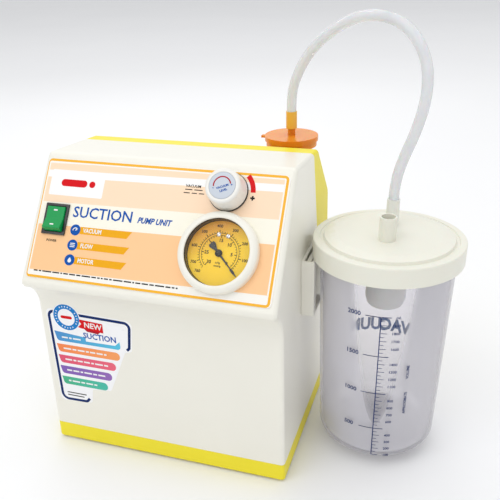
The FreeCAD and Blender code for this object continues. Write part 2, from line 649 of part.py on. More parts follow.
ROCKER_PIVOT = "1.0"
ROCKER_REACH = "(switch_length / 2 - switch_rim - switch_wall - rocker_gap)"
SWITCH_INNER = "switch_width - 2 * switch_rim - 2 * switch_wall"
socket = cut(
    "switch_body",
    fuse("switch_solid",
         centred_box("switch_frame", "switch_width", "switch_length", "switch_flange",
                     ("0", "0", PANEL_FACE)),
         centred_box("switch_case", "switch_width - 2 * switch_rim", "switch_length - 2 * switch_rim",
                     "switch_depth + panel_thick", ("0", "0", "-switch_depth")),
         *[centred_box(f"switch_blade_{k}", "0.8", "6.3", "9", ("0", f"{k} * 8", "-switch_depth - 8"))
           for k in (-1, 0, 1)]),
    centred_box("switch_cavity", SWITCH_INNER, "switch_length - 2 * switch_rim - 2 * switch_wall",
                "switch_depth", ("0", "0", "-switch_depth / 2")))
switch_node("switch_housing", socket)

rocker_drum = cylinder("rocker_drum", ROCKER_REACH, f"{SWITCH_INNER} - 2 * rocker_gap",
                       (f"-({SWITCH_INNER} - 2 * rocker_gap) / 2", "0", "0"), ALONG_X)
dish = f"{ROCKER_REACH} * 2 * tan(rocker_dish)"
rocker_form = padded("rocker_form", "YZ_Plane", [
    (f"-2 * {ROCKER_REACH}", "-5"), (f"2 * {ROCKER_REACH}", "-5"),
    (f"2 * {ROCKER_REACH}", f"rocker_rise + {dish}"), ("0", "rocker_rise"),
    (f"-2 * {ROCKER_REACH}", f"rocker_rise + {dish}")], "switch_width * 2")
rocker = common("rocker_body", rocker_drum, rocker_form)
node("switch_rocker", rocker, console_at("switch_across", "switch_up", ROCKER_PIVOT),
     ((1, 0, 0), f"{LIP_ANGLE} - rocker_lean"))


# ---------------------------------------------------------------- motor and piston pump
def along_shaft(name, radius, length, start):
    return cylinder(name, radius, length, (start, "0", "0"), ALONG_X)


def shaft_ring(name, outer, inner, length, start):
    """A ring about the shaft."""
    return cut(name, along_shaft(name + "_outer", outer, length, start),
               along_shaft(name + "_inner", inner, f"{length} + 2", f"{start} - 1"))


pump_node("motor_can", shaft_ring("can", "motor_radius", "motor_radius - motor_wall",
                                  "motor_length", "motor_foot"))
STATOR_START = "(motor_foot + (motor_length - stator_length) / 2)"
pump_node("motor_stator", shaft_ring("stator", "motor_radius - motor_wall", "rotor_radius + rotor_gap",
                                     "stator_length", STATOR_START))


def end_cap(name, start, bearing_start):
    disc = along_shaft(name + "_disc", "motor_radius", "cap_length", start)
    hole = along_shaft(name + "_shaft_hole", "shaft_radius + 1", "cap_length + 2", f"{start} - 1")
    return cut(name, disc, hole,
               along_shaft(name + "_seat", "bearing_radius", "bearing_width", bearing_start))


FAN_CAP_START = "(motor_foot - cap_length)"
FAN_BEARING = "(motor_foot - bearing_width)"
pump_node("end_cap_fan_side", end_cap("fan_cap", FAN_CAP_START, FAN_BEARING))
pump_node("end_cap_pump_side", end_cap("pump_cap", MOTOR_END, MOTOR_END))
pump_node("motor_bearings", group(
    "bearings",
    shaft_ring("fan_bearing", "bearing_radius", "shaft_radius + running_gap", "bearing_width", FAN_BEARING),
    shaft_ring("pump_bearing", "bearing_radius", "shaft_radius + running_gap", "bearing_width", MOTOR_END)))

FAN_START = f"({FAN_CAP_START} - fan_gap - fan_width)"
SHAFT_START = f"({FAN_START} - 3)"
SHAFT_END = f"({CRANK_MID} + rod_width / 2 + 9)"
pump_node("motor_shaft", group("shaft", along_shaft(
    "shaft_rod", "shaft_radius", f"{SHAFT_END} - {SHAFT_START}", SHAFT_START)))
pump_node("rotor_core", shaft_ring("core", "rotor_radius", "shaft_radius", "stator_length", STATOR_START))
BLADES = 9
blades = [
    box(f"fan_blade_{k}", "fan_width", "fan_radius - fan_hub + 1", "blade_thick",
        (FAN_START, f"(fan_hub - 1) * cos({k * 360 / BLADES})", f"(fan_hub - 1) * sin({k * 360 / BLADES})"),
        ((1, 0, 0), f"{k * 360 / BLADES}"))
    for k in range(BLADES)
]
fan = cut("fan_body", fuse("fan_solid", along_shaft("fan_boss", "fan_hub", "fan_width", FAN_START), *blades),
          along_shaft("fan_bore", "shaft_radius", "fan_width + 2", f"{FAN_START} - 1"))
pump_node("cooling_fan", fan)
ECCENTRIC_START = f"({CRANK_MID} - rod_width / 2)"
cam = fuse(
    "cam_solid",
    moved(cylinder("cam_disc", "eccentric_radius", "rod_width"), (ECCENTRIC_START, "0", "throw"), ALONG_X),
    along_shaft("cam_hub", "shaft_radius + 3", "8", f"{CRANK_MID} + rod_width / 2"),
    box("cam_weight", "6", "eccentric_radius * 2", "eccentric_radius * 1.3",
        (f"{CRANK_MID} + rod_width / 2 + 1.5", "-eccentric_radius", "-eccentric_radius * 1.7")))
pump_node("eccentric", cut("cam_body", cam, along_shaft(
    "cam_bore", "shaft_radius", "rod_width + 20", f"{ECCENTRIC_START} - 2")))

crank_solid = fuse(
    "crank_solid", along_shaft("crank_drum", "crank_radius", "crank_length", CRANK_START),
    centred_box("crank_deck", "head_width", "head_width", "deck_height - crank_radius * 0.7",
                (CRANK_MID, "0", "crank_radius * 0.7")))
head_corners = [(f"{CRANK_MID} + {i} * head_pitch", f"{j} * head_pitch") for i in (-1, 1) for j in (-1, 1)]


def head_bores(name):
    return [cylinder(f"{name}_{k}", "head_screw + slip_gap", "200", (x, y, "crank_radius * 0.8"))
            for k, (x, y) in enumerate(head_corners, 1)]


crankcase = cut(
    "crankcase_body", crank_solid,
    along_shaft("crank_cavity", "crank_radius - crank_wall", "crank_length", f"{CRANK_START} + crank_wall"),
    along_shaft("crank_shaft_hole", "shaft_radius + 1", "20", f"{CRANK_START} - 5"),
    cylinder("crank_throat", "bore_radius + 0.5", "deck_height + 5", (CRANK_MID, "0", "0")),
    *head_bores("crank_bore"))
pump_node("crankcase", crankcase)
pump_node("crankcase_cover", group("cover", along_shaft(
    "cover_disc", "crank_radius", "cover_thick", CRANK_END)))

rod = cut(
    "rod_body",
    fuse("rod_solid",
         along_shaft("rod_ring", "rod_eye + rod_eye_wall", "rod_width", ECCENTRIC_START),
         centred_box("rod_shank", "rod_width", "rod_width * 1.2", "piston_height - rod_eye",
                     (CRANK_MID, "0", "rod_eye + 1")),
         cylinder("rod_piston", "bore_radius - seal_width", "piston_thick",
                  (CRANK_MID, "0", "piston_height"))),
    along_shaft("rod_eye_bore", "rod_eye", "rod_width + 2", f"{ECCENTRIC_START} - 1"))
pump_node("connecting_rod", rod)
SEAL_FOOT = "(piston_height + (piston_thick - seal_height) / 2)"


def upright_ring(name, outer, inner, height, at):
    return cut(name, cylinder(name + "_outer", outer, height, at),
               cylinder(name + "_inner", inner, f"{height} + 2", (at[0], at[1], f"{at[2]} - 1")))


pump_node("piston_seal", upright_ring("seal", "bore_radius - running_gap", "bore_radius - seal_width",
                                      "seal_height", (CRANK_MID, "0", SEAL_FOOT)))
pump_node("cylinder", upright_ring("barrel", "bore_radius + cylinder_wall", "bore_radius",
                                   "cylinder_height", (CRANK_MID, "0", "deck_height")))
INTAKE = f"{CRANK_MID} - port_pitch"
OUTLET = f"{CRANK_MID} + port_pitch"
pump_node("valve_plate", cut(
    "valve_body",
    centred_box("valve_slab", "head_width", "head_width", "valve_plate_thick",
                (CRANK_MID, "0", CYLINDER_TOP)),
    cylinder("intake_port", "barb_radius", "200", (INTAKE, "0", "0")),
    cylinder("outlet_port", "barb_radius", "200", (OUTLET, "0", "0")), *head_bores("valve_bore")))
CHAMBER = ("port_pitch * 2 - 5", "head_pitch", "head_height * 0.6")
head = cut(
    "head_body",
    fuse("head_solid",
         centred_box("head_block", "head_width", "head_width", "head_height", (CRANK_MID, "0", HEAD_FOOT)),
         barb("intake_barb", f"{HEAD_TOP} + barb_length", at=(INTAKE, "0")),
         barb("outlet_barb", f"{HEAD_TOP} + barb_length", at=(OUTLET, "0"))),
    centred_box("intake_chamber", *CHAMBER, (INTAKE, "0", HEAD_FOOT)),
    centred_box("outlet_chamber", *CHAMBER, (OUTLET, "0", HEAD_FOOT)),
    cylinder("intake_bore", "barb_bore", "200", (INTAKE, "0", HEAD_FOOT)),
    cylinder("outlet_bore", "barb_bore", "200", (OUTLET, "0", HEAD_FOOT)), *head_bores("head_bore"))
pump_node("cylinder_head", head)


def head_bolt(name, x, y):
    shank = cylinder(name + "_shank", "head_screw", f"{HEAD_TOP} - crank_radius * 0.85",
                     (x, y, "crank_radius * 0.85"))
    return fuse(name, shank, cylinder(name + "_head", "head_screw_head", "3", (x, y, HEAD_TOP)))


pump_node("head_screws", group("bolts", *[
    head_bolt(f"bolt_{k}", x, y) for k, (x, y) in enumerate(head_corners, 1)]))

TRAY_TOP = "(-motor_radius - tray_gap)"
saddles = [box(f"saddle_{k}", "10", "motor_radius * 1.3", "motor_radius * 0.5",
               (f"motor_foot + {share} * motor_length - 5", "-motor_radius * 0.65", TRAY_TOP))
           for k, share in ((1, 0.2), (2, 0.8))]
tray_plate = centred_box("tray_plate", "2 * mount_across + 3 * mount_radius",
                         "2 * mount_deep + 3 * mount_radius", "tray_thick",
                         ("0", "0", f"{TRAY_TOP} - tray_thick"))
tray = cut("tray_body", fuse("tray_solid", tray_plate, *saddles),
           along_shaft("saddle_bore", "motor_radius", "400", "-200"))
pump_node("pump_tray", tray)


def rubber_mount(name, x, y):
    height = f"{TRAY_FOOT} - {FLOOR_TOP}"
    return turned(name, [("0", "0"), ("mount_radius", "0"), ("mount_radius", f"({height}) * 0.2"),
                         ("mount_radius * 0.7", f"({height}) * 0.5"), ("mount_radius", f"({height}) * 0.8"),
                         ("mount_radius", height), ("0", height)], (x, y, FLOOR_TOP))


node("vibration_mounts", group("mounts", *[
    rubber_mount(f"mount_{i}_{j}".replace("-", "n"), f"{i} * mount_across", f"pump_back + {j} * mount_deep")
    for i in (-1, 1) for j in (-1, 1)]))
capacitor = cylinder("capacitor_can", "capacitor_radius", "capacitor_height",
                     ("capacitor_across", "capacitor_back", FLOOR_TOP))
node("motor_capacitor", group("capacitor", rounded(
    "capacitor_soft", capacitor, lambda edge, middle: 1.5 if middle.z > sheet.capacitor_height else None)))
muffler = fuse(
    "muffler_solid",
    cylinder("muffler_can", "muffler_radius", "muffler_length",
             ("-muffler_length / 2", "muffler_back", "muffler_height"), ALONG_X),
    cylinder("muffler_barb", "barb_radius", "muffler_radius + barb_length",
             ("muffler_length / 2 - 6", "muffler_back", "muffler_height")))
node("exhaust_muffler", muffler)
manifold = cut(
    "manifold_body",
    fuse("manifold_solid",
         cylinder("manifold_can", "manifold_radius", "manifold_height",
                  ("0", "0", "port_stem_foot - manifold_height")),
         barb("manifold_foot", "port_stem_foot - manifold_height"),
         cylinder("manifold_left", "barb_radius", "manifold_radius + 10",
                  ("-manifold_radius - 10", "0", "port_stem_foot - manifold_height * 0.6"), ALONG_X),
         cylinder("manifold_right", "barb_radius", "manifold_radius + 10",
                  ("0", "0", "port_stem_foot - manifold_height * 0.45"), ALONG_X)),
    cylinder("manifold_bore", "barb_bore", "80", ("0", "0", "port_stem_foot - 60")))
filter_node("vacuum_manifold", manifold)


# ---------------------------------------------------------------- mains inlet
def rear_node(label, shape, across):
    return node(label, shape, rear_at(across, "inlet_height"), ON_REAR)


SOCKET_FLOOR = "(inlet_flange - inlet_socket)"
inlet = fuse(
    "inlet_solid",
    cut("inlet_shell",
        fuse("inlet_form",
             centred_box("inlet_plate", "inlet_width + 2 * inlet_rim", "inlet_tall + 2 * inlet_rim",
                         "inlet_flange"),
             centred_box("inlet_case", "inlet_width", "inlet_tall", "inlet_deep", ("0", "0", "-inlet_deep"))),
        centred_box("inlet_mouth", "inlet_width - 2 * inlet_wall", "inlet_tall - 2 * inlet_wall",
                    "inlet_socket + 1", ("0", "0", SOCKET_FLOOR))),
    *[centred_box(f"inlet_pin_{k}", "2", "4", "inlet_pin", (f"{k} * 7", f"{drop}", SOCKET_FLOOR))
      for k, drop in ((-1, 2), (0, -2), (1, 2))])
rear_node("power_inlet", inlet, "inlet_across")
fuse_body = turned("fuse_turned", [
    ("0", "-fuse_depth"), ("fuse_radius", "-fuse_depth"), ("fuse_radius", "0"), ("fuse_head", "0"),
    ("fuse_head", "2"), ("fuse_radius", "4"), ("0", "4")])
rear_node("fuse_holder", fuse_body, "fuse_across")

# ---------------------------------------------------------------- bacterial filter
boss = cut("port_boss", cylinder("boss_rod", "port_boss", "40", ("0", "0", "port_boss_top - 40")),
           cylinder("boss_core", "port_stem - 0.5", "60", ("0", "0", "port_boss_top - 50")))
boss_placed = moved(boss, ("filter_across", "filter_back", "0"))
boss_outside = cut("port_boss_outside", boss_placed, body_block)
stem_tube = cut("stem_tube",
                cylinder("stem_outer", "port_stem", "port_stem_top - port_stem_foot",
                         ("filter_across", "filter_back", "port_stem_foot")),
                cylinder("stem_socket", "socket_radius", "socket_depth + 1",
                         ("filter_across", "filter_back", "port_stem_top - socket_depth")),
                cylinder("stem_bore", "barb_bore", "60",
                         ("filter_across", "filter_back", "port_stem_foot - 5")))
node("filter_port", fuse("filter_port_solid", boss_outside, stem_tube))
filter_node("filter_base", turned("base_turned", [
    ("barb_bore", "port_stem_top - socket_depth"), ("socket_radius", "port_stem_top - socket_depth"),
    ("socket_radius", "port_stem_top"), ("port_stem + 1", "port_stem_top"), ("port_stem + 1", "filter_foot"),
    ("filter_radius - filter_inset", "filter_foot"), ("filter_radius - filter_inset", FILTER_SEAM),
    ("filter_radius - filter_inset - filter_wall", FILTER_SEAM),
    ("filter_radius - filter_inset - filter_wall", "filter_foot + filter_wall"),
    ("barb_bore", "filter_foot + filter_wall")]))
filter_node("filter_membrane", group("membrane", cylinder(
    "membrane_disc", "filter_radius - filter_inset - filter_wall * 0.5", "membrane_thick",
    ("0", "0", FILTER_SEAM))))
lid_half = turned("top_turned", [
    ("barb_bore", f"{FILTER_ROOF} - filter_wall"),
    ("filter_radius - filter_inset", f"{FILTER_ROOF} - filter_wall"),
    ("filter_radius - filter_inset", FILTER_SEAM), ("filter_radius", FILTER_SEAM),
    ("filter_radius", FILTER_ROOF), ("neck_radius", FILTER_ROOF),
    ("neck_radius", f"{FILTER_ROOF} + neck_length"), ("barb_bore", f"{FILTER_ROOF} + neck_length")])
filter_node("filter_top", fuse("filter_top_solid", lid_half, box(
    "filter_tab", "tab_reach - filter_radius + 1", "6", "2.4", ("-tab_reach", "-3", f"{FILTER_SEAM} + 1"))))
filter_node("filter_sleeve", turned("sleeve_turned", [
    ("neck_radius", "sleeve_foot"), ("sleeve_radius", "sleeve_foot"), ("sleeve_radius", "sleeve_top"),
    ("barb_bore + 1", "sleeve_top"), ("barb_bore + 1", f"{FILTER_ROOF} + neck_length"),
    ("neck_radius", f"{FILTER_ROOF} + neck_length")]))

# ---------------------------------------------------------------- collection jar and lid
JAR_INNER_RIM = "jar_rim_radius - jar_wall"
jar_cup = turned("jar_turned", [
    ("0", "jar_foot"), ("jar_foot_radius", "jar_foot"), ("jar_rim_radius", JAR_RIM),
    (JAR_INNER_RIM, JAR_RIM), ("jar_foot_radius - jar_wall", "jar_foot + jar_wall"),
    ("0", "jar_foot + jar_wall")])


def jar_round(edge, middle):
    if abs(edge.BoundBox.ZMax - sheet.jar_foot) < 0.01 and edge.BoundBox.XLength > 20:
        return sheet.jar_foot_round
    if abs(edge.BoundBox.ZMin - sheet.jar_foot - sheet.jar_wall) < 0.01 and edge.BoundBox.ZLength < 0.01:
        return sheet.jar_foot_round - sheet.jar_wall
    return None


jar_soft = rounded("jar_soft", jar_cup, jar_round)
jar_node("collection_jar", fuse("jar_solid", jar_soft, torus(
    "jar_bead", "jar_rim_radius - 0.2", "jar_bead", ("0", "0", f"{JAR_RIM} - jar_bead - 2.5"))))

GROOVE = "(jar_rim_radius - groove_inset)"
lid_radius = sheet.jar_rim_radius + sheet.lid_slack + sheet.lid_wall
lid_disc = rounded("lid_soft", turned("lid_turned", [
    ("0", f"{PLATEAU} - lid_wall"), ("plateau_radius - 1", f"{PLATEAU} - lid_wall"),
    (f"{GROOVE} - 3", LID_UNDER), (f"{LID_RADIUS} - lid_wall", LID_UNDER),
    (f"{LID_RADIUS} - lid_wall", "lid_top - lid_skirt"), (LID_RADIUS, "lid_top - lid_skirt"),
    (LID_RADIUS, "lid_top"), (f"{GROOVE} + 3.6", "lid_top"), (f"{GROOVE} + 3", "lid_top - 1.2"),
    (GROOVE, "lid_top - 1.2"), (f"{GROOVE} - 1", "lid_top + 1.6"),
    ("plateau_radius", PLATEAU), ("0", PLATEAU)]),
    lambda edge, middle: (1.4 if abs(middle.z - sheet.lid_top) < 0.01 and edge.Length > lid_radius * 6.2
                          else None))
OFFSET = "port_offset"
cap = cut(
    "lid_body",
    fuse("lid_solid", lid_disc,
         cylinder("patient_port", "port_radius", "port_height + 2", ("0", f"-{OFFSET}", f"{PLATEAU} - 2")),
         cylinder("suction_spigot", "spigot_radius", "spigot_height + 2", ("0", OFFSET, f"{PLATEAU} - 2"))),
    cylinder("patient_bore", "port_bore", "port_height + 20", ("0", f"-{OFFSET}", f"{PLATEAU} - 10")),
    cylinder("suction_bore", "spigot_bore", "spigot_height + 20", ("0", OFFSET, f"{PLATEAU} - 10")))
jar_node("jar_lid", cap)
jar_node("lid_seal", upright_ring("gasket", "jar_rim_radius + 2.6", f"{JAR_INNER_RIM} - 1", "seal_thick",
                                  ("0", "0", JAR_RIM)))
CAGE_TOP = f"({PLATEAU} - lid_wall)"
CAGE_FOOT = f"({CAGE_TOP} - cage_depth)"
cage = cut(
    "cage_body",
    turned("cage_turned", [
        ("cage_radius * 0.4", CAGE_FOOT), ("cage_radius", CAGE_FOOT), ("cage_radius", CAGE_TOP),
        ("cage_radius - cage_wall", CAGE_TOP), ("cage_radius - cage_wall", f"{CAGE_FOOT} + cage_wall"),
        ("cage_radius * 0.4", f"{CAGE_FOOT} + cage_wall")], ("0", "cage_offset", "0")),
    cylinder("cage_side_port", "cage_slot / 2", "cage_radius * 4",
             ("-cage_radius * 2", "cage_offset", f"{CAGE_FOOT} + cage_depth * 0.3"), ALONG_X),
    cylinder("cage_front_port", "cage_slot / 2", "cage_radius * 4",
             ("0", "cage_offset - cage_radius * 2", f"{CAGE_FOOT} + cage_depth * 0.3"), ALONG_Y))
jar_node("float_cage", cage)
float_disc = cylinder("float_disc", "float_radius", "float_height",
                      ("0", "cage_offset", f"{CAGE_FOOT} + cage_wall + float_rest"))
jar_node("jar_float", group("float", rounded(
    "float_soft", float_disc,
    lambda edge, middle: 2.5 if edge.Length > 20 and edge.BoundBox.ZLength < 0.01 else None)))
jar_node("tube_connector", cut(
    "connector_body",
    cylinder("connector_sleeve", "connector_radius", "connector_length",
             ("0", OFFSET, f"{PLATEAU} + connector_lift")),
    cylinder("connector_socket", "spigot_radius", "spigot_height - connector_lift + 1",
             ("0", OFFSET, f"{PLATEAU} + connector_lift - 1")),
    cylinder("connector_bore", "spigot_bore", "60", ("0", OFFSET, PLATEAU))))

# ---------------------------------------------------------------- hanging bracket
CAVITY_BACK = f"({BRACKET_FACE} - bracket_reach + bracket_wall)"
bracket = cut(
    "bracket_body",
    box("bracket_block", "bracket_reach + 10", "bracket_width", "bracket_height",
        (f"{BRACKET_FACE} - bracket_reach - 10", "jar_back - bracket_width / 2", "bracket_foot")),
    box("bracket_slot", "bracket_reach - 2 * bracket_wall", "bracket_width - 2 * bracket_wall",
        "bracket_height",
        (CAVITY_BACK, "jar_back - bracket_width / 2 + bracket_wall", "bracket_foot + bracket_wall")),
    box("bracket_mouth", "bracket_wall + 10", "bracket_mouth", "bracket_height",
        (f"{BRACKET_FACE} - bracket_wall - 1", "jar_back - bracket_mouth / 2",
         "bracket_foot + bracket_wall")),
    body_block, *[
        cylinder(f"bracket_bore_{k}", "bracket_screw + slip_gap", "60",
                 (f"{BRACKET_FACE} - 40", "jar_back", height), ALONG_X)
        for k, height in enumerate(BRACKET_SCREWS, 1)], *[
        cone(f"bracket_sink_{k}", "bracket_screw + slip_gap", "bracket_screw_head + slip_gap", "1.8",
             (f"{CAVITY_BACK} - 1.8", "jar_back", height), ALONG_X)
        for k, height in enumerate(BRACKET_SCREWS, 1)])
node("jar_bracket", bracket)
node("bracket_screws", group("bracket_fasteners", *[
    fuse(f"bracket_fastener_{k}",
         cone(f"bracket_head_{k}", "bracket_screw", "bracket_screw_head", "1.8",
              (f"{CAVITY_BACK} - 1.8", "jar_back", height), ALONG_X),
         cylinder(f"bracket_shank_{k}", "bracket_screw", "14",
                  (f"{CAVITY_BACK} - 15.5", "jar_back", height), ALONG_X))
    for k, height in enumerate(BRACKET_SCREWS, 1)]))

PLATE_THICK = "(bracket_reach - 2 * bracket_wall - 2 * hanger_gap)"
PLATE_WIDTH = "(bracket_width - 2 * bracket_wall - 2 * hanger_gap)"
PLATE_FACE = f"({BRACKET_FACE} - bracket_wall - hanger_gap)"
jar_cone = cone("jar_outside", "jar_foot_radius", "jar_rim_radius", f"{JAR_RIM} - jar_foot",
                (JAR_ACROSS, "jar_back", "jar_foot"))
hanger = cut(
    "hanger_body",
    fuse("hanger_solid",
         box("hanger_plate", PLATE_THICK, PLATE_WIDTH, "bracket_height - bracket_wall - 2 * hanger_gap",
             (f"{PLATE_FACE} - {PLATE_THICK}", f"jar_back - {PLATE_WIDTH} / 2",
              "bracket_foot + bracket_wall + hanger_gap")),
         box("hanger_neck", f"{JAR_ACROSS} - jar_foot_radius - {PLATE_FACE} + 4", "hanger_width",
             f"{BRACKET_TOP} - hanger_foot - hanger_gap",
             (f"{PLATE_FACE} - 1", "jar_back - hanger_width / 2", "hanger_foot"))),
    jar_cone)
node("jar_hanger", hanger)

# ---------------------------------------------------------------- hoses and the free tube
doc.recompute()
sin_tilt, cos_tilt = math.sin(tilt), math.cos(tilt)


def console_spot(across, up, out):
    """A place on the console as numbers, in cabinet axes."""
    return Vector(across, -sheet.lip_reach + up * sin_tilt - out * cos_tilt,
                  sheet.lip_height + up * cos_tilt + out * sin_tilt)


into_cabinet = Vector(0, cos_tilt, -sin_tilt)
crank_mid = sheet.motor_foot + sheet.motor_length + sheet.cap_length + sheet.crank_reach
head_top = (sheet.pump_height + sheet.deck_height + sheet.cylinder_height + sheet.valve_plate_thick
            + sheet.head_height + sheet.barb_length)
intake = Vector(crank_mid - sheet.port_pitch, sheet.pump_back, head_top)
outlet = Vector(crank_mid + sheet.port_pitch, sheet.pump_back, head_top)
hub = Vector(sheet.filter_across, sheet.filter_back, sheet.port_stem_foot - sheet.manifold_height)
hub_foot = hub - Vector(0, 0, sheet.barb_length)
hub_left = hub + Vector(-sheet.manifold_radius - 10, 0, sheet.manifold_height * 0.4)
hub_right = hub + Vector(sheet.manifold_radius + 10, 0, sheet.manifold_height * 0.55)
gauge_end = console_spot(sheet.gauge_across, sheet.gauge_up, -sheet.gauge_depth - sheet.barb_length)
valve_end = console_spot(sheet.knob_across, sheet.knob_up, -sheet.valve_depth - sheet.barb_length)
muffler_end = Vector(sheet.muffler_length / 2 - 6, sheet.muffler_back,
                     sheet.muffler_height + sheet.muffler_radius + sheet.barb_length)


def hose(*points):
    return swept([tuple(point) for point in points], sheet.hose_radius, sheet.hose_bore)[0]


suction_hose = hose(
    intake, intake + Vector(0, 0, 15), intake + Vector(12, 18, 24), (intake + hub_foot) / 2 + Vector(4, 6, 6),
    hub_foot + Vector(-9, -16, -18), hub_foot + Vector(0, 0, -17), hub_foot)
gauge_hose = hose(
    gauge_end, gauge_end + into_cabinet * 14, gauge_end + Vector(-6, 50, -4), hub_left + Vector(-24, -34, -4),
    hub_left + Vector(-16, 0, 0), hub_left)
valve_hose = hose(
    valve_end, valve_end + into_cabinet * 13, valve_end + Vector(16, 48, -20), hub_right + Vector(12, -26, 2),
    hub_right + Vector(13, 0, 0), hub_right)
outlet_hose = hose(
    outlet, outlet + Vector(0, 2, 14), outlet + Vector(14, 24, 14), outlet + Vector(26, 46, -8),
    Vector(crank_mid + 34, muffler_end.y - 6, 120), muffler_end + Vector(24, 0, 30),
    muffler_end + Vector(2, 0, 18), muffler_end)
hoses = feature("hose_set", Part.makeCompound([suction_hose, gauge_hose, valve_hose, outlet_hose]))
node("inner_hoses", hoses)

# The tube rises from the filter's sleeve, goes over the top and comes down on the connector of the
# lid, in an upright plane. Each point is a reach along that plane and a height; the two ends and the
# straight runs out of them come from the pieces.
TUBE_ROUTE = (
    (5.5, 364.5), (19, 386), (38, 404.5), (74, 425.5), (103, 430.5), (128.7, 426.7),
    (149, 412.5), (161, 390.8), (161.8, 364), (154.5, 336), (143, 308),
)
SPLIT_AFTER = 6
START_RUN, END_RUN = Vector(0, 0, 16.2), Vector(0, 0, 16.4)
tube_start = Vector(sheet.filter_across, sheet.filter_back, sheet.sleeve_top)
jar_across = (sheet.cabinet_width / 2 - sheet.side_draft * sheet.lid_top + sheet.lid_gap
              + lid_radius)
tube_end = Vector(jar_across, sheet.jar_back + sheet.port_offset, sheet.lid_top + sheet.lid_rise
                  + sheet.connector_lift + sheet.connector_length)
heading = Vector(tube_end.x - tube_start.x, tube_end.y - tube_start.y, 0)
heading.normalize()
tube_points = [tube_start, tube_start + START_RUN] + [
    Vector(tube_start.x, tube_start.y, 0) + heading * reach + Vector(0, 0, height)
    for reach, height in TUBE_ROUTE] + [tube_end + END_RUN, tube_end]
tube, tube_radii = swept([tuple(point) for point in tube_points], sheet.tube_radius)
print("tube bend radii:", ", ".join(f"{radius:.0f}" for radius in tube_radii))
run = tube_points[SPLIT_AFTER + 1] - tube_points[SPLIT_AFTER]
far_side = Part.makeBox(500, 500, 500, Vector(-250, -250, 0))
far_side.Placement = FreeCAD.Placement(tube_points[SPLIT_AFTER] + run * 0.5, Rotation(Vector(0, 0, 1), run))
node("tube_pump_side", feature("tube_first", tube.cut(far_side)))
node("tube_jar_side", feature("tube_second", tube.common(far_side)))

# ---------------------------------------------------------------- origin, checks and files
doc.recompute()
for made in doc.Objects:
    if "Invalid" in made.State or "Error" in made.State:
        raise ValueError(f"{made.Name} did not build")
extent = Part.makeCompound([
    shape.Shape for label, shape in NODES.items() if label not in FREE_TUBE]).optimalBoundingBox(False, False)
for alias, low, high in (("origin_x", extent.XMin, extent.XMax), ("origin_y", extent.YMin, extent.YMax)):
    sheet.set(sheet.getCellFromAlias(alias), f"{(low + high) / 2:.4f}")
doc.recompute()
os.makedirs("parts", exist_ok=True)
for label, shape in NODES.items():
    if shape.Shape.isNull() or not shape.Shape.isValid() or not shape.Shape.Solids:
        raise ValueError(f"{label} has no sound solid")
for label, shape in NODES.items():
    shape.Shape.exportStep(f"parts/{label}.step")
print(f"{len(NODES)} pieces, middle at {sheet.origin_x:.2f}, {sheet.origin_y:.2f} in cabinet axes,",
      f"{extent.XLength:.1f} x {extent.YLength:.1f} x {extent.ZLength:.1f} mm without the tube")
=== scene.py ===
"""Looks of a bedside suction pump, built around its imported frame.

Metres in the frame's axes: X to the right of the front, Y towards the back, Z up, with the origin in
the middle of the underside. Outlines and printed places are written in millimetres."""

import json
import math

import bpy
from mathutils import Matrix, Vector

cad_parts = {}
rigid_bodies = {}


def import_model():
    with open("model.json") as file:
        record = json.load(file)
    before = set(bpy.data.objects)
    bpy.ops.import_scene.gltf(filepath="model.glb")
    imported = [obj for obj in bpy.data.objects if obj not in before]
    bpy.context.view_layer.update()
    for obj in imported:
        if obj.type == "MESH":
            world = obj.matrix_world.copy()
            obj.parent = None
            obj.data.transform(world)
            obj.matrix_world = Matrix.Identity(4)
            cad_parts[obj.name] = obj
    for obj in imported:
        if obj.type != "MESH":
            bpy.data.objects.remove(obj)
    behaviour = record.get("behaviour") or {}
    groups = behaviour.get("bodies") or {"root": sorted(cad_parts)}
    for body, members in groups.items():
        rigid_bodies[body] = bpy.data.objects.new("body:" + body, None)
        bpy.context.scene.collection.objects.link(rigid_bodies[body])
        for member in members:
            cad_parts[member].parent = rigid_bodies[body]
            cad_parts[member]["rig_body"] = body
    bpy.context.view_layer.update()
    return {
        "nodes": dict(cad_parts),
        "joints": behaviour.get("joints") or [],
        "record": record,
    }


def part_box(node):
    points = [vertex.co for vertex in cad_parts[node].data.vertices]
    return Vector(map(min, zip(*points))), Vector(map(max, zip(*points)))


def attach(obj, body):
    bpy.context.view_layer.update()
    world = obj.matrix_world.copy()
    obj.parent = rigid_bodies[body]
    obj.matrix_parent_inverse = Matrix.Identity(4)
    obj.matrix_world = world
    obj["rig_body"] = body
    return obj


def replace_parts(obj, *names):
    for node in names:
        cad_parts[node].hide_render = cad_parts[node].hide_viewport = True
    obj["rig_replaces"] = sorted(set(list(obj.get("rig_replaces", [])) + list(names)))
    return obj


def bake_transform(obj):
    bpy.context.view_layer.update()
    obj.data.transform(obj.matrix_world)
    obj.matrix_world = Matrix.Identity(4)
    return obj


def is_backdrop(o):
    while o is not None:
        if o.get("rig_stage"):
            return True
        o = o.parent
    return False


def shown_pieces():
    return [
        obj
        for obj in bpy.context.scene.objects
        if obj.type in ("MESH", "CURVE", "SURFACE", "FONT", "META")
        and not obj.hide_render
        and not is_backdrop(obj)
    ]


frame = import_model()
scene = bpy.context.scene
MM = 0.001
CLOSE = 1e-6  # points nearer than this are one, in metres
WELD = 1e-4  # the same for drawings in millimetres
EASE_ANGLE = 35.0

JOINTS = {joint["name"]: joint for joint in frame["joints"]}


def centre(node, height):
    """The middle of a node's box, at its "top" or "foot"."""
    low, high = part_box(node)
    return Vector(((low.x + high.x) / 2, (low.y + high.y) / 2, high.z if height == "top" else low.z))


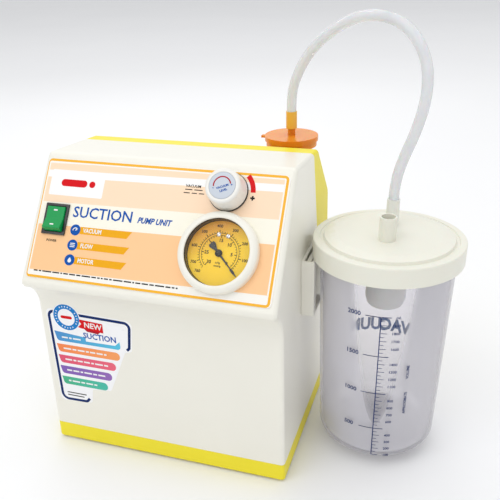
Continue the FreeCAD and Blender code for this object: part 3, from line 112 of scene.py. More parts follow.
# ---------- places on the object
GAUGE_AT = (67.9, 53.0)
KNOB_AT = (67.0, 109.8)
HUB_LIFT = 2.0
gauge_hub = Vector(JOINTS["pointer_turn"]["pos_m"])
console_out = Vector(JOINTS["pointer_turn"]["axis"]).normalized()
console_up = Vector((0, console_out.z, -console_out.y))
console_origin = (gauge_hub - console_out * HUB_LIFT * MM - Vector((GAUGE_AT[0] * MM, 0, 0))
                  - console_up * GAUGE_AT[1] * MM)
lid_axis = centre("jar_lid", "foot")


def on_console(across=0.0, up=0.0, out=0.0):
    """The frame of a place on the sloping console: X across, Y up the panel, Z out of it."""
    place = console_origin + Vector((across, 0, 0)) * MM + (console_up * up + console_out * out) * MM
    axes = Matrix((Vector((1, 0, 0)), console_up, console_out)).transposed().to_4x4()
    return Matrix.Translation(place) @ axes


def upright(spot, height=0.0):
    """The frame of a vertical axis through a spot, in which heights are the frame's own."""
    return Matrix.Translation(Vector((spot.x, spot.y, height * MM)))


# ---------- camera, light and floor
CAMERA_AT = Vector((0.18506, -0.57738, 0.48547))
CAMERA_LEFT, CAMERA_DOWN, CAMERA_ROLL = 18.08, 27.24, -1.51
CAMERA_LENS, CAMERA_SHIFT = 46.69, (-0.0084, 0.0609)


def add(name, data):
    """A new object in the scene."""
    made = bpy.data.objects.new(name, data)
    scene.collection.objects.link(made)
    return made


def place_camera():
    lens = bpy.data.cameras.new("camera")
    lens.lens = CAMERA_LENS
    lens.shift_x, lens.shift_y = CAMERA_SHIFT
    lens.clip_start = 0.01
    camera = add("camera", lens)
    camera.matrix_world = (
        Matrix.Translation(CAMERA_AT) @ Matrix.Rotation(math.radians(CAMERA_LEFT), 4, "Z")
        @ Matrix.Rotation(math.radians(90 - CAMERA_DOWN), 4, "X")
        @ Matrix.Rotation(math.radians(CAMERA_ROLL), 4, "Z"))
    scene.camera = camera


def softbox(name, spot, aim, size, watts):
    """A rectangular lamp that faces a place."""
    lamp = bpy.data.lights.new(name, "AREA")
    lamp.shape = "RECTANGLE"
    lamp.size, lamp.size_y = size
    lamp.energy = watts
    holder = add(name, lamp)
    holder.location = spot
    holder.rotation_euler = (Vector(aim) - Vector(spot)).to_track_quat("-Z", "Y").to_euler()


def light_studio():
    middle = (0, 0, 0.2)
    softbox("key_light", (-0.55, -1.25, 1.75), middle, (1.4, 1.0), 8)
    softbox("fill_light", (1.6, -0.9, 0.9), middle, (1.2, 1.2), 1.5)
    softbox("top_light", (0.0, 0.8, 3.2), (0, 0.8, 0), (5.0, 5.0), 50)
    softbox("back_light", (-0.9, 1.6, 1.2), middle, (1.4, 1.0), 3)
    world = bpy.data.worlds.new("studio")
    world.use_nodes = True
    sky = world.node_tree.nodes["Background"]
    sky.inputs["Color"].default_value = (0.97, 0.98, 1.0, 1)
    sky.inputs["Strength"].default_value = 0.72
    scene.world = world
    scene.view_settings.view_transform = "Standard"


# ---------- finishes
class Value:
    """A socket of a finish. Arithmetic on number sockets adds the Math nodes that work it out."""

    def __init__(self, finish, socket):
        self.finish, self.socket = finish, socket

    def math(self, operation, *values):
        return self.finish.node("ShaderNodeMath", {"operation": operation}, dict(enumerate(values)))

    def __add__(self, other):
        return self.math("ADD", self, other)

    def __sub__(self, other):
        return self.math("SUBTRACT", self, other)

    def __rsub__(self, other):
        return self.math("SUBTRACT", other, self)

    def __mul__(self, other):
        return self.math("MULTIPLY", self, other)

    def __truediv__(self, other):
        return self.math("DIVIDE", self, other)

    def __pow__(self, other):
        return self.math("POWER", self, other)

    def __gt__(self, other):
        return self.math("GREATER_THAN", self, other)

    def __lt__(self, other):
        return self.math("LESS_THAN", self, other)

    def __abs__(self):
        return self.math("ABSOLUTE", self)

    def larger(self, other):
        return self.math("MAXIMUM", self, other)

    def smaller(self, other):
        return self.math("MINIMUM", self, other)

    __radd__ = __add__
    __rmul__ = __mul__


class Finish:
    """A material under construction around one Principled shader."""

    def __init__(self, name, slot, **sockets):
        self.material = bpy.data.materials.new(name)
        self.material.use_nodes = True
        self.tree = self.material.node_tree
        self.tree.nodes.clear()
        self.slot = slot
        self.shader = self.tree.nodes.new("ShaderNodeBsdfPrincipled")
        self.output = self.tree.nodes.new("ShaderNodeOutputMaterial")
        self.tree.links.new(self.shader.outputs[0], self.output.inputs[0])
        for socket, value in sockets.items():
            self.feed(self.shader.inputs[socket.replace("_", " ")], value)

    def feed(self, socket, value):
        if isinstance(value, Value):
            self.tree.links.new(value.socket, socket)
        elif socket.type == "RGBA":
            socket.default_value = (*value, 1.0)
        else:
            socket.default_value = value

    def set(self, socket, value):
        self.feed(self.shader.inputs[socket], value)

    def node(self, kind, settings=None, inputs=None, output=0):
        """A node with its settings set and its sockets fed, as the value of one of its outputs."""
        made = self.tree.nodes.new(kind)
        for setting, value in (settings or {}).items():
            setattr(made, setting, value)
        for socket, value in (inputs or {}).items():
            self.feed(made.inputs[socket], value)
        return Value(self, made.outputs[output])

    def spot(self):
        """The place on the piece, as a vector in metres."""
        return self.node("ShaderNodeTexCoord", output="Object")

    def axes(self):
        """The place on the piece, as three numbers in millimetres."""
        scaled = self.node("ShaderNodeVectorMath", {"operation": "SCALE"},
                           {0: self.spot(), "Scale": 1 / MM})
        split = self.node("ShaderNodeSeparateXYZ", inputs={0: scaled}).socket.node
        return [Value(self, split.outputs[axis]) for axis in range(3)]

    def console(self):
        """The place on the console, as millimetres across and up the panel."""
        x, y, z = self.axes()
        across = x - console_origin.x / MM
        up = (y - console_origin.y / MM) * console_up.y + (z - console_origin.z / MM) * console_up.z
        return across, up

    def noise(self, per_metre, detail=2.0, stretch=(1, 1, 1)):
        """Cloudy noise from 0 to 1, with so many features to a metre."""
        turned = self.node("ShaderNodeMapping", inputs={"Vector": self.spot(), "Scale": stretch})
        return self.node("ShaderNodeTexNoise", inputs={
            "Vector": turned, "Scale": per_metre, "Detail": detail}, output="Fac")

    def mix(self, share, first, second):
        """Colours mixed by a share from 0, all first, to 1, all second."""
        return self.node("ShaderNodeMix", {"data_type": "RGBA"}, {0: share, 6: first, 7: second}, output=2)

    def relief(self, height, depth):
        """Turn a height from 0 to 1 into bumps so many millimetres deep."""
        self.set("Normal", self.node("ShaderNodeBump", inputs={
            "Height": height, "Distance": depth * MM, "Strength": 1.0}))

    def mottle(self, per_metre, detail, first, second):
        """A base colour that drifts from one colour to another."""
        self.set("Base Color", self.mix(self.noise(per_metre, detail), first, second))

    def gloss(self, per_metre, detail, spread, least):
        """A roughness that drifts by a spread above its least."""
        self.set("Roughness", self.noise(per_metre, detail) * spread + least)

    def let_through(self, tint, share):
        """Tinted light passes where the shader's share is under 1."""
        through = self.node("ShaderNodeBsdfTransparent", inputs={0: tint})
        blend = self.node("ShaderNodeMixShader", inputs={
            0: share.smaller(1.0), 1: through, 2: Value(self, self.shader.outputs[0])})
        self.feed(self.output.inputs[0], blend)


def darker(colour, share):
    return tuple(part * (1 - share) for part in colour)


def plastic(name, slot, colour, roughness=0.35, grain=900, depth=0.02, cloud=0.05, **sockets):
    """Moulded plastic: a fine moulded grain, a slow drift of tone and patches of differing gloss."""
    finish = Finish(name, slot, **sockets)
    finish.mottle(14, 3, colour, darker(colour, cloud))
    finish.gloss(60, 3, 0.12, roughness - 0.06)
    finish.relief(finish.noise(grain, 2), depth)
    return finish


def metal(name, slot, colour, roughness=0.3, stretch=(1, 1, 40), depth=0.004):
    """Worked metal with fine tool marks drawn out along one axis."""
    finish = Finish(name, slot, Metallic=1.0)
    marks = finish.noise(1500, 2, stretch)
    finish.mottle(30, 3, colour, darker(colour, 0.2))
    finish.set("Roughness", marks * 0.2 + (roughness - 0.1))
    finish.relief(marks, depth)
    return finish


CREAM, YELLOW = (0.875, 0.855, 0.765), (0.92, 0.79, 0.03)
PANEL_GROUND, PEACH = (0.92, 0.90, 0.84), (0.97, 0.58, 0.29)
PALE_PEACH, CREAM_BAND = (0.97, 0.72, 0.51), (0.93, 0.90, 0.77)
GOLD, WHITE = (0.90, 0.44, 0.005), (0.93, 0.93, 0.92)
BRASS = (0.72, 0.52, 0.22)
INK_COLOURS = {
    "red": (0.72, 0.0, 0.005), "blue": (0.0, 0.09, 0.42), "navy": (0.0, 0.02, 0.13),
    "black": (0.01, 0.01, 0.01), "white": WHITE, "orange": (0.90, 0.42, 0.005),
    "dark_red": (0.45, 0.005, 0.02), "sky": (0.01, 0.22, 0.60), "jar_blue": (0.05, 0.16, 0.42),
}


def cream_shell():
    return plastic("cream shell", "cream_shell", CREAM, 0.36, 1400, 0.025, 0.04, Coat_Weight=0.15)


def yellow_shell():
    return plastic("yellow shell", "yellow_shell", YELLOW, 0.42, 1400, 0.025, 0.08,
                   Specular_IOR_Level=0.3)


def rounded_box(across, up, middle, half, corner):
    """How far a place on the console lies outside a rounded rectangle, in millimetres."""
    a = abs(across - middle[0]) - (half[0] - corner)
    b = abs(up - middle[1]) - (half[1] - corner)
    outside = (a.larger(0.0) ** 2 + b.larger(0.0) ** 2) ** 0.5
    return outside + a.larger(b).smaller(0.0) - corner


BORDER_MIDDLE, BORDER_HALF, BORDER_CORNER, BORDER_LINE = (-1.4, 69.6), (121.2, 58.0), 3.0, 2.4
PATCH_MIDDLE, PATCH_HALF, PATCH_CORNER = (-87.0, 105.4), (29.0, 12.8), 1.5
PANEL_MARGIN, PANEL_TILT = 2.6, 0.014
PANEL_BANDS = ((19.5, 64.5, PEACH), (64.5, 87.0, CREAM_BAND), (87.0, 116.0, PALE_PEACH),
               (112.0, 119.0, WHITE), (119.0, 126.0, PALE_PEACH))


def printed_panel():
    """The overlay: cream with a gold border, peach fields, pale bands and a plain white patch."""
    finish = Finish("printed panel", "panel_print", Specular_IOR_Level=0.25)
    across, up = finish.console()
    level = up - across * PANEL_TILT
    colour = PANEL_GROUND
    for low, high, tone in PANEL_BANDS:
        colour = finish.mix((level > low) * (level < high), colour, tone)
    border = rounded_box(across, up, BORDER_MIDDLE, BORDER_HALF, BORDER_CORNER)
    colour = finish.mix(border > -PANEL_MARGIN, colour, PANEL_GROUND)
    patch = rounded_box(across, up, PATCH_MIDDLE, PATCH_HALF, PATCH_CORNER)
    colour = finish.mix(patch < 0.0, colour, WHITE)
    colour = finish.mix(abs(border) < BORDER_LINE / 2, colour, GOLD)
    finish.set("Base Color", finish.mix(finish.noise(25, 3) * 0.05, colour, (0.75, 0.70, 0.60)))
    finish.gloss(80, 3, 0.1, 0.3)
    finish.relief(finish.noise(1800, 2), 0.008)
    return finish


def ink(name, colour):
    """Printing ink: nearly one colour, with the faint unevenness of a screen print."""
    finish = Finish(name, "panel_print", Specular_IOR_Level=0.15)
    finish.mottle(700, 3, colour, darker(colour, 0.12))
    finish.gloss(400, 2, 0.1, 0.35)
    return finish


# ---------- modelling helpers
def only(*pieces):
    """Select these pieces and nothing else, with the first one active."""
    if bpy.context.object and bpy.context.object.mode != "OBJECT":
        bpy.ops.object.mode_set(mode="OBJECT")
    bpy.ops.object.select_all(action="DESELECT")
    for piece in pieces:
        piece.select_set(True)
    bpy.context.view_layer.objects.active = pieces[0]


def edit(piece):
    """Open a piece in edit mode with all of it selected."""
    only(piece)
    bpy.ops.object.mode_set(mode="EDIT")
    bpy.ops.mesh.select_all(action="SELECT")


def leave():
    bpy.ops.object.mode_set(mode="OBJECT")


def put_on(piece, kind, **settings):
    """Add a modifier and apply it."""
    modifier = piece.modifiers.new(kind.lower(), kind)
    for setting, value in settings.items():
        setattr(modifier, setting, value)
    only(piece)
    bpy.ops.object.modifier_apply(modifier=modifier.name)


def ease(piece, width, segments=2, clamp=False):
    """Round a piece's corners by a width in millimetres and shade it smooth between them."""
    if width:
        put_on(piece, "BEVEL", width=width * MM, segments=segments, limit_method="ANGLE",
               angle_limit=math.radians(EASE_ANGLE), use_clamp_overlap=clamp, miter_outer="MITER_ARC")
    only(piece)
    bpy.ops.object.shade_smooth_by_angle(angle=math.radians(EASE_ANGLE))
    put_on(piece, "WEIGHTED_NORMAL", keep_sharp=True, mode="FACE_AREA")


def dress(piece, finish, body, *nodes):
    """Give a finished piece its material, its body and the nodes it stands for."""
    piece.data.materials.clear()
    piece.data.materials.append(finish.material)
    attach(piece, body)
    if nodes:
        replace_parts(piece, *nodes)
    return piece


def settle(piece, place):
    """Move a mesh from its own drawing frame, in millimetres, into place in the object."""
    piece.data.transform(place @ Matrix.Diagonal((MM, MM, MM, 1)))
    return piece


def moulding(node, name, finish, width, segments=2, clamp=False):
    """A closed copy of a CAD piece with its corners eased, which stands for it."""
    source = frame["nodes"][node]
    piece = add(name, source.data.copy())
    edit(piece)
    if piece.data.has_custom_normals:
        bpy.ops.mesh.customdata_custom_splitnormals_clear()
    bpy.ops.mesh.remove_doubles(threshold=CLOSE)
    bpy.ops.mesh.dissolve_limited(angle_limit=math.radians(0.2))
    leave()
    ease(piece, width, segments, clamp)
    return dress(piece, finish, source["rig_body"], node)


def corners(outline):
    """An outline in which every (x, y, radius) corner becomes an arc."""
    points = []
    for k, corner in enumerate(outline):
        if len(corner) == 2 or not corner[2]:
            points.append(Vector(corner[:2]))
            continue
        here = Vector(corner[:2])
        into = (here - Vector(outline[k - 1][:2])).normalized()
        out = (Vector(outline[(k + 1) % len(outline)][:2]) - here).normalized()
        half = into.angle(out) / 2
        reach = corner[2] * math.tan(half)
        middle = here + (out - into).normalized() * (corner[2] / math.cos(half))
        start = here - into * reach - middle
        side = 1 if into.x * out.y - into.y * out.x > 0 else -1
        steps = max(2, round(math.degrees(2 * half) / 11))
        for step in range(steps + 1):
            points.append(middle + Matrix.Rotation(side * 2 * half * step / steps, 2) @ start)
    return points


def lathe(name, outline, closed=False, steps=128):
    """Turn a (radius, height) outline about the upright axis, in millimetres.

    An outline that starts and ends on the axis makes a closed solid, and a closed one a ring."""
    spots = [Vector((point.x, 0, point.y)) for point in corners(outline)]
    bpy.ops.object.select_all(action="DESELECT")
    bpy.ops.mesh.primitive_plane_add(size=1, location=(0, 0, 0))
    piece = bpy.context.object
    piece.name = name
    bpy.ops.object.mode_set(mode="EDIT")
    bpy.ops.mesh.select_all(action="SELECT")
    bpy.ops.mesh.merge(type="CENTER")
    bpy.ops.transform.translate(value=spots[0])
    for before, after in zip(spots, spots[1:] + (spots[:1] if closed else [])):
        bpy.ops.mesh.extrude_region_move(TRANSFORM_OT_translate={"value": after - before})
    bpy.ops.mesh.select_all(action="SELECT")
    bpy.ops.mesh.remove_doubles(threshold=WELD)
    bpy.ops.mesh.select_all(action="SELECT")
    bpy.ops.mesh.spin(steps=steps, angle=math.tau, center=(0, 0, 0), axis=(0, 0, 1))
    bpy.ops.mesh.select_all(action="SELECT")
    bpy.ops.mesh.remove_doubles(threshold=WELD)
    bpy.ops.mesh.normals_make_consistent(inside=False)
    leave()
    return piece


def turned(name, outline, place, finish, body, *nodes, closed=False, steps=128, width=0):
    """A lathed piece, set in place and finished."""
    piece = settle(lathe(name, outline, closed, steps), place)
    ease(piece, width)
    return dress(piece, finish, body, *nodes)


def flat_piece(name, outlines, thick=0.12, foot=0.0):
    """A thin plate from closed outlines in millimetres; an outline inside another is a hole."""
    drawn = bpy.data.curves.new(name, "CURVE")
    drawn.dimensions, drawn.fill_mode = "2D", "BOTH"
    drawn.extrude = thick / 2
    for outline in outlines:
        points = corners(outline)
        spline = drawn.splines.new("POLY")
        spline.points.add(len(points) - 1)
        for spot, point in zip(spline.points, points):
            spot.co = (point.x, point.y, 0, 1)
        spline.use_cyclic_u = True
    return as_mesh(add(name, drawn), foot + thick / 2)


def as_mesh(piece, lift):
    """The clean mesh of a drawn curve or text, raised by so much."""
    only(piece)
    bpy.ops.object.convert(target="MESH")
    piece = bpy.context.object
    edit(piece)
    bpy.ops.mesh.remove_doubles(threshold=WELD)
    bpy.ops.mesh.normals_make_consistent(inside=False)
    leave()
    piece.data.transform(Matrix.Translation((0, 0, lift)))
    return piece


def words(name, text, height, at=(0, 0), align="CENTER", thick=0.1, turn=0.0, slant=0.0, squeeze=1.0,
          bold=0.03):
    """Raised figures or plain words, in millimetres; their capitals are about so high."""
    drawn = bpy.data.curves.new(name, "FONT")
    drawn.body, drawn.size = text, height * 1.38
    drawn.align_x, drawn.align_y = align, "CENTER"
    drawn.extrude, drawn.resolution_u, drawn.shear = thick / 2, 2, slant
    drawn.offset = height * bold
    piece = as_mesh(add(name, drawn), thick / 2)
    piece.data.transform(Matrix.Translation((*at, 0)) @ Matrix.Rotation(math.radians(turn), 4, "Z")
                         @ Matrix.Diagonal((squeeze, 1, 1, 1)))
    return piece


def joined(name, pieces):
    only(*pieces)
    if len(pieces) > 1:
        bpy.ops.object.join()
    pieces[0].name = name
    return pieces[0]


def bar(x0, y0, x1, y1, corner=0.0):
    """A rectangle's outline."""
    return [(x0, y0, corner), (x1, y0, corner), (x1, y1, corner), (x0, y1, corner)]


def dashes(start, stop, foot, top, gap, lengths, shift=0):
    """The outlines of a row of plain dashes, whose lengths repeat."""
    row, at, step = [], start, shift
    while at + lengths[step % len(lengths)] <= stop:
        length = lengths[step % len(lengths)]
        row.append(bar(at, foot, at + length, top))
        at, step = at + length + gap, step + 1
    return row


def disc(x, y, radius, count=40):
    return [(x + radius * math.cos(k * math.tau / count), y + radius * math.sin(k * math.tau / count))
            for k in range(count)]


def spoke(angle, inner, outer, width):
    """A thin bar's outline that points out from the middle of a dial."""
    turn = Matrix.Rotation(math.radians(angle), 2)
    return [tuple(turn @ Vector(corner)) for corner in (
        (inner, -width / 2), (outer, -width / 2), (outer, width / 2), (inner, width / 2))]


def spoke_at(x, y, angle, inner, outer, width):
    return [(x + a, y + b) for a, b in spoke(angle, inner, outer, width)]


def plus(x, y, reach, half):
    """A plus sign's outline."""
    quarter = [(reach, -half), (reach, half), (half, half)]
    return [tuple(Vector((x, y)) + Matrix.Rotation(math.radians(90 * k), 2) @ Vector(corner))
            for k in range(4) for corner in quarter]


def arc_band(inner, outer, start, end, count=24, middle=(0, 0)):
    """The outline of a stretch of ring."""
    angles = [math.radians(start + (end - start) * k / count) for k in range(count + 1)]
    return ([(middle[0] + outer * math.cos(a), middle[1] + outer * math.sin(a)) for a in angles]
            + [(middle[0] + inner * math.cos(a), middle[1] + inner * math.sin(a)) for a in reversed(angles)])


# ---------- floor
def lay_floor():
    bpy.ops.object.select_all(action="DESELECT")
    bpy.ops.mesh.primitive_grid_add(x_subdivisions=12, y_subdivisions=12, size=40, location=(0, 12, 0))
    floor = bpy.context.object
    floor.name = "floor"
    finish = Finish("floor paper", "", Roughness=0.65)
    finish.mottle(2, 2, (0.93, 0.93, 0.93), (0.90, 0.90, 0.905))
    floor.data.materials.append(finish.material)
    floor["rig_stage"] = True


# ---------- the free tube
TUBE_ROUTE = (
    (5.5, 364.5), (19, 386), (38, 404.5), (74, 425.5), (103, 430.5), (128.7, 426.7),
    (149, 412.5), (161, 390.8), (161.8, 364), (154.5, 336), (143, 308),
)
SPLIT_AFTER = 6
START_RUN, END_RUN = Vector((0, 0, 16.2)) * MM, Vector((0, 0, 16.4)) * MM
TUBE_RADIUS = 5.0 * MM


def tube_plastic():
    """Soft clear tube: milky where the wall is seen edge on, with a faint drift of haze."""
    finish = Finish("clear tube", "clear_tube", Transmission_Weight=0.35, IOR=1.35,
                    Subsurface_Weight=0.25, Subsurface_Scale=0.004)
    haze = finish.noise(120, 3)
    finish.set("Base Color", finish.mix(haze, (0.90, 0.91, 0.92), (0.83, 0.845, 0.86)))
    finish.set("Roughness", haze * 0.15 + 0.16)
    finish.relief(finish.noise(90, 2), 0.05)
    return finish


def tube_line(name, points):
    """A smooth open line that has the points as its control points."""
    line = bpy.data.curves.new(name, "CURVE")
    line.dimensions = "3D"
    line.resolution_u = 16
    spline = line.splines.new("NURBS")
    spline.points.add(len(points) - 1)
    for spot, point in zip(spline.points, points):
        spot.co = (*point, 1)
    spline.order_u = 3
    spline.use_endpoint_u = True
    return add(name, line)


def tube_stretch(name, points, finish):
    """A mesh tube along the smooth line, and the points that it follows."""
    holder = tube_line(name + "_line", points)
    path = [vertex.co.copy() for vertex in bpy.data.meshes.new_from_object(holder).vertices]
    holder.data.bevel_depth = TUBE_RADIUS
    holder.data.bevel_resolution = 9
    holder.data.use_fill_caps = True
    piece = add(name, bpy.data.meshes.new_from_object(holder))
    bpy.data.objects.remove(holder)
    edit(piece)
    bpy.ops.mesh.remove_doubles(threshold=CLOSE)
    bpy.ops.mesh.normals_make_consistent(inside=False)
    leave()
    only(piece)
    bpy.ops.object.shade_smooth_by_angle(angle=math.radians(50))
    piece.data.materials.append(finish.material)
    length = sum((b - a).length for a, b in zip(path, path[1:]))
    return piece, path, length


def build_tube():
    finish = tube_plastic()
    start, end = centre("filter_sleeve", "top"), centre("tube_connector", "top")
    heading = Vector((end.x - start.x, end.y - start.y, 0)).normalized()
    foot = Vector((start.x, start.y, 0))
    middle = [foot + (heading * reach + Vector((0, 0, height))) * MM for reach, height in TUBE_ROUTE]
    route = [start, start + START_RUN, *middle, end + END_RUN, end]
    meeting = (route[SPLIT_AFTER] + route[SPLIT_AFTER + 1]) / 2
    first, first_path, first_length = tube_stretch(
        "tube_from_filter", route[:SPLIT_AFTER + 1] + [meeting], finish)
    second, second_path, second_length = tube_stretch(
        "tube_to_jar", [meeting] + route[SPLIT_AFTER + 1:], finish)
    for piece, path, length, leaves, node in (
            (first, first_path, first_length, start, "tube_pump_side"),
            (second, second_path, second_length, meeting, "tube_jar_side")):
        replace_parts(piece, node)
    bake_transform(first)
    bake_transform(second)


# ---------- cabinet
def build_cabinet():
    cream, yellow = cream_shell(), yellow_shell()
    moulding("front_shell", "front_cover", cream, 0.45)
    moulding("rear_shell", "rear_cover", yellow, 0.45)
    moulding("base_tray", "base", yellow, 0.45)
    moulding("filter_port", "suction_outlet", yellow, 0.3)
    moulding("jar_bracket", "hanging_bracket", cream, 0.7, 3)
    moulding("jar_hanger", "jar_hook", cream, 0.5)
    black = plastic("black moulding", "black_plastic", (0.018, 0.018, 0.02), 0.28, 1100, 0.02, 0.3,
                    Coat_Weight=0.2)
    moulding("power_inlet", "mains_socket", black, 0.3)
    moulding("fuse_holder", "fuse_cap", black, 0.3)
    return cream, black


# ---------- console
def stand(node):
    """How far a node's lowest and highest points stand out from the console, in millimetres."""
    lifts = [(vertex.co - console_origin).dot(console_out) / MM
             for vertex in frame["nodes"][node].data.vertices]
    return min(lifts), max(lifts)


PANEL_FACE = stand("control_panel")[1]
PRINT = 0.1


def print_on(name, outlines, finish, at=(0, 0), out=None, body="cabinet", thick=PRINT):
    """Flat printed shapes on the console."""
    piece = flat_piece(name, outlines, thick)
    settle(piece, on_console(*at, PANEL_FACE if out is None else out))
    return dress(piece, finish, body)


def letter_on(name, pieces, finish, at=(0, 0), out=None, body="cabinet"):
    piece = settle(joined(name, pieces), on_console(*at, PANEL_FACE if out is None else out))
    return dress(piece, finish, body)


BAR_UPS = (60.2, 45.4, 31.0)
BAR_WORDS = ("VACUUM", "FLOW", "MOTOR")
ICON_ACROSS = -79.0


def droplet(x, y, size):
    """A drop's outline, point up."""
    points = []
    for k in range(24):
        angle = math.tau * k / 24
        points.append((x + size * math.sin(angle) * (1 - 0.55 * max(0, math.cos(angle))),
                       y + size * (math.cos(angle) * (1.6 if math.cos(angle) > 0 else 1.0) - 0.2)))
    return points


def build_panel(inks):
    moulding("control_panel", "console_overlay", printed_panel(), 0.15, 1)
    print_on("name_bars", [[(-74, up - 3.4), (-24.5, up - 3.4), (-20, up + 3.5), (-74, up + 3.5)]
                           for up in BAR_UPS], inks["orange"])
    print_on("name_icons", [disc(ICON_ACROSS, up, 5.35) for up in BAR_UPS], inks["blue"], thick=0.16)
    letter_on("bar_words", [words(f"word_{k}", text, 4.2, (-70.5, up), "LEFT", squeeze=0.8, bold=0.04)
                            for k, (text, up) in enumerate(zip(BAR_WORDS, BAR_UPS))],
              inks["white"], out=PANEL_FACE + PRINT)
    top, middle, foot = BAR_UPS
    symbols = [arc_band(2.1, 3.0, 30, 180, 12, (ICON_ACROSS, top - 0.6)),
               spoke_at(ICON_ACROSS, top - 0.6, 35, 0.3, 2.9, 0.9),
               *[bar(ICON_ACROSS - 2.6, middle + k, ICON_ACROSS + 2.6, middle + k + 0.8, 0.39)
                 for k in (-2.0, -0.4, 1.2)],
               droplet(ICON_ACROSS, foot - 0.3, 1.9)]
    print_on("icon_symbols", symbols, inks["white"], out=PANEL_FACE + 0.16)
    letter_on("title", [words("title_words", "SUCTION", 10.8, (-53.5, 77.2), squeeze=0.98, bold=0.018),
                        words("title_tail", "PUMP UNIT", 5.6, (0, 75.4), slant=0.25, squeeze=0.85,
                              bold=0.045)],
              inks["blue"])
    print_on("plain_mark", [bar(-104, 102, -76, 109, 3.4), disc(-70.5, 105.5, 3.2)], inks["red"])
    small = [words("power_word", "POWER", 2.3, (-102.5, 47.6)),
             words("level_word", "VACUUM", 2.6, (32.6, 112.3))]
    letter_on("small_words", small, inks["black"])
    lines = [bar(25 + k, 108.6 - 3.2 * row, 25 + k + length, 109.4 - 3.2 * row)
             for row, gaps in enumerate((((0, 7), (9, 8)), ((-1, 6), (7, 5), (14, 5))))
             for k, length in gaps]
    lines += dashes(-115.0, 36, 16.7, 17.9, 1.3,
                    (4.2, 2.6, 9.8, 7.4, 1.8, 5.0, 6.4, 4.4, 9.0, 4.8, 2.6, 1.8))
    print_on("plain_lines", lines, inks["black"])
    print_on("level_arc", [arc_band(20.7, 25.2, 3, 45, 20)], inks["red"], KNOB_AT)
    print_on("level_plus", [plus(23.2, -4.0, 2.1, 0.75)], inks["black"], KNOB_AT)


# ---------- vacuum gauge
SCALE_START, SCALE_TURN, MOST_MERCURY, MOST_INCHES = -45.0, 270.0, 760.0, 30.0
GAUGE_RADIUS, BEZEL_RADIUS, LIP_RADIUS, DIAL_RADIUS, DIAL_HOLE = 31.6, 37.4, 30.4, 29.9, 2.04
LONG_MARK, SHORT_MARK, FINE_PRINT = 0.7, 0.42, 0.06


def dial_face():
    """Yellow dial with painted shadow: it deepens to orange brown towards the top left, where the bezel
    shades it, and a faint glow paints light on it.
    """
    # The emission is painted light: it makes the dial glow faintly, so that it looks brighter under the lens.
    finish = Finish("dial face", "dial_print", Emission_Strength=0.22)
    across, up = finish.console()
    # Painted shadow of the bezel: the dial colour darkens towards the top left.
    shade = (up - GAUGE_AT[1]) * 0.034 - (across - GAUGE_AT[0]) * 0.016 - 0.05
    colour = finish.mix(shade.larger(0.0).smaller(0.85), (0.90, 0.60, 0.01), (0.58, 0.19, 0.005))
    printed = finish.mix(finish.noise(220, 3) * 0.3, colour, (0.84, 0.54, 0.02))
    finish.set("Base Color", printed)
    # The glow takes the same colour, painted shadow included.
    finish.set("Emission Color", printed)
    finish.gloss(300, 2, 0.1, 0.4)
    finish.relief(finish.noise(1500, 2), 0.01)
    return finish


def dial_marks():
    """The rings and strokes of both scales."""
    end = SCALE_START + SCALE_TURN
    marks = [arc_band(18.35, 18.8, SCALE_START, end, 70), arc_band(16.4, 16.8, SCALE_START, end, 70)]
    for step in range(0, 39):
        angle = SCALE_START + SCALE_TURN * step * 20 / MOST_MERCURY
        long = step % 5 == 0
        marks.append(spoke(angle, 18.9, 21.4 if long else 20.2, LONG_MARK if long else SHORT_MARK))
    for step in range(0, 31):
        angle = SCALE_START + SCALE_TURN * step / MOST_INCHES
        long = step % 5 == 0
        marks.append(spoke(angle, 14.2 if long else 15.2, 16.3, LONG_MARK if long else SHORT_MARK))
    return marks


def around(angle, radius):
    return (radius * math.cos(math.radians(angle)), radius * math.sin(math.radians(angle)))


def clear_cover(name, slot, tint, haze, roughness=0.05, shine=0.75):
    """Clear plastic: tinted light passes through, and shine grows towards its edges."""
    finish = Finish(name, slot, IOR=1.45)
    finish.mottle(20, 2, tint, darker(tint, 0.08))
    finish.gloss(40, 2, 0.06, roughness)
    edge = finish.node("ShaderNodeLayerWeight", inputs={"Blend": 0.35}, output="Fresnel")
    finish.let_through(tint, edge * shine + haze)
    return finish


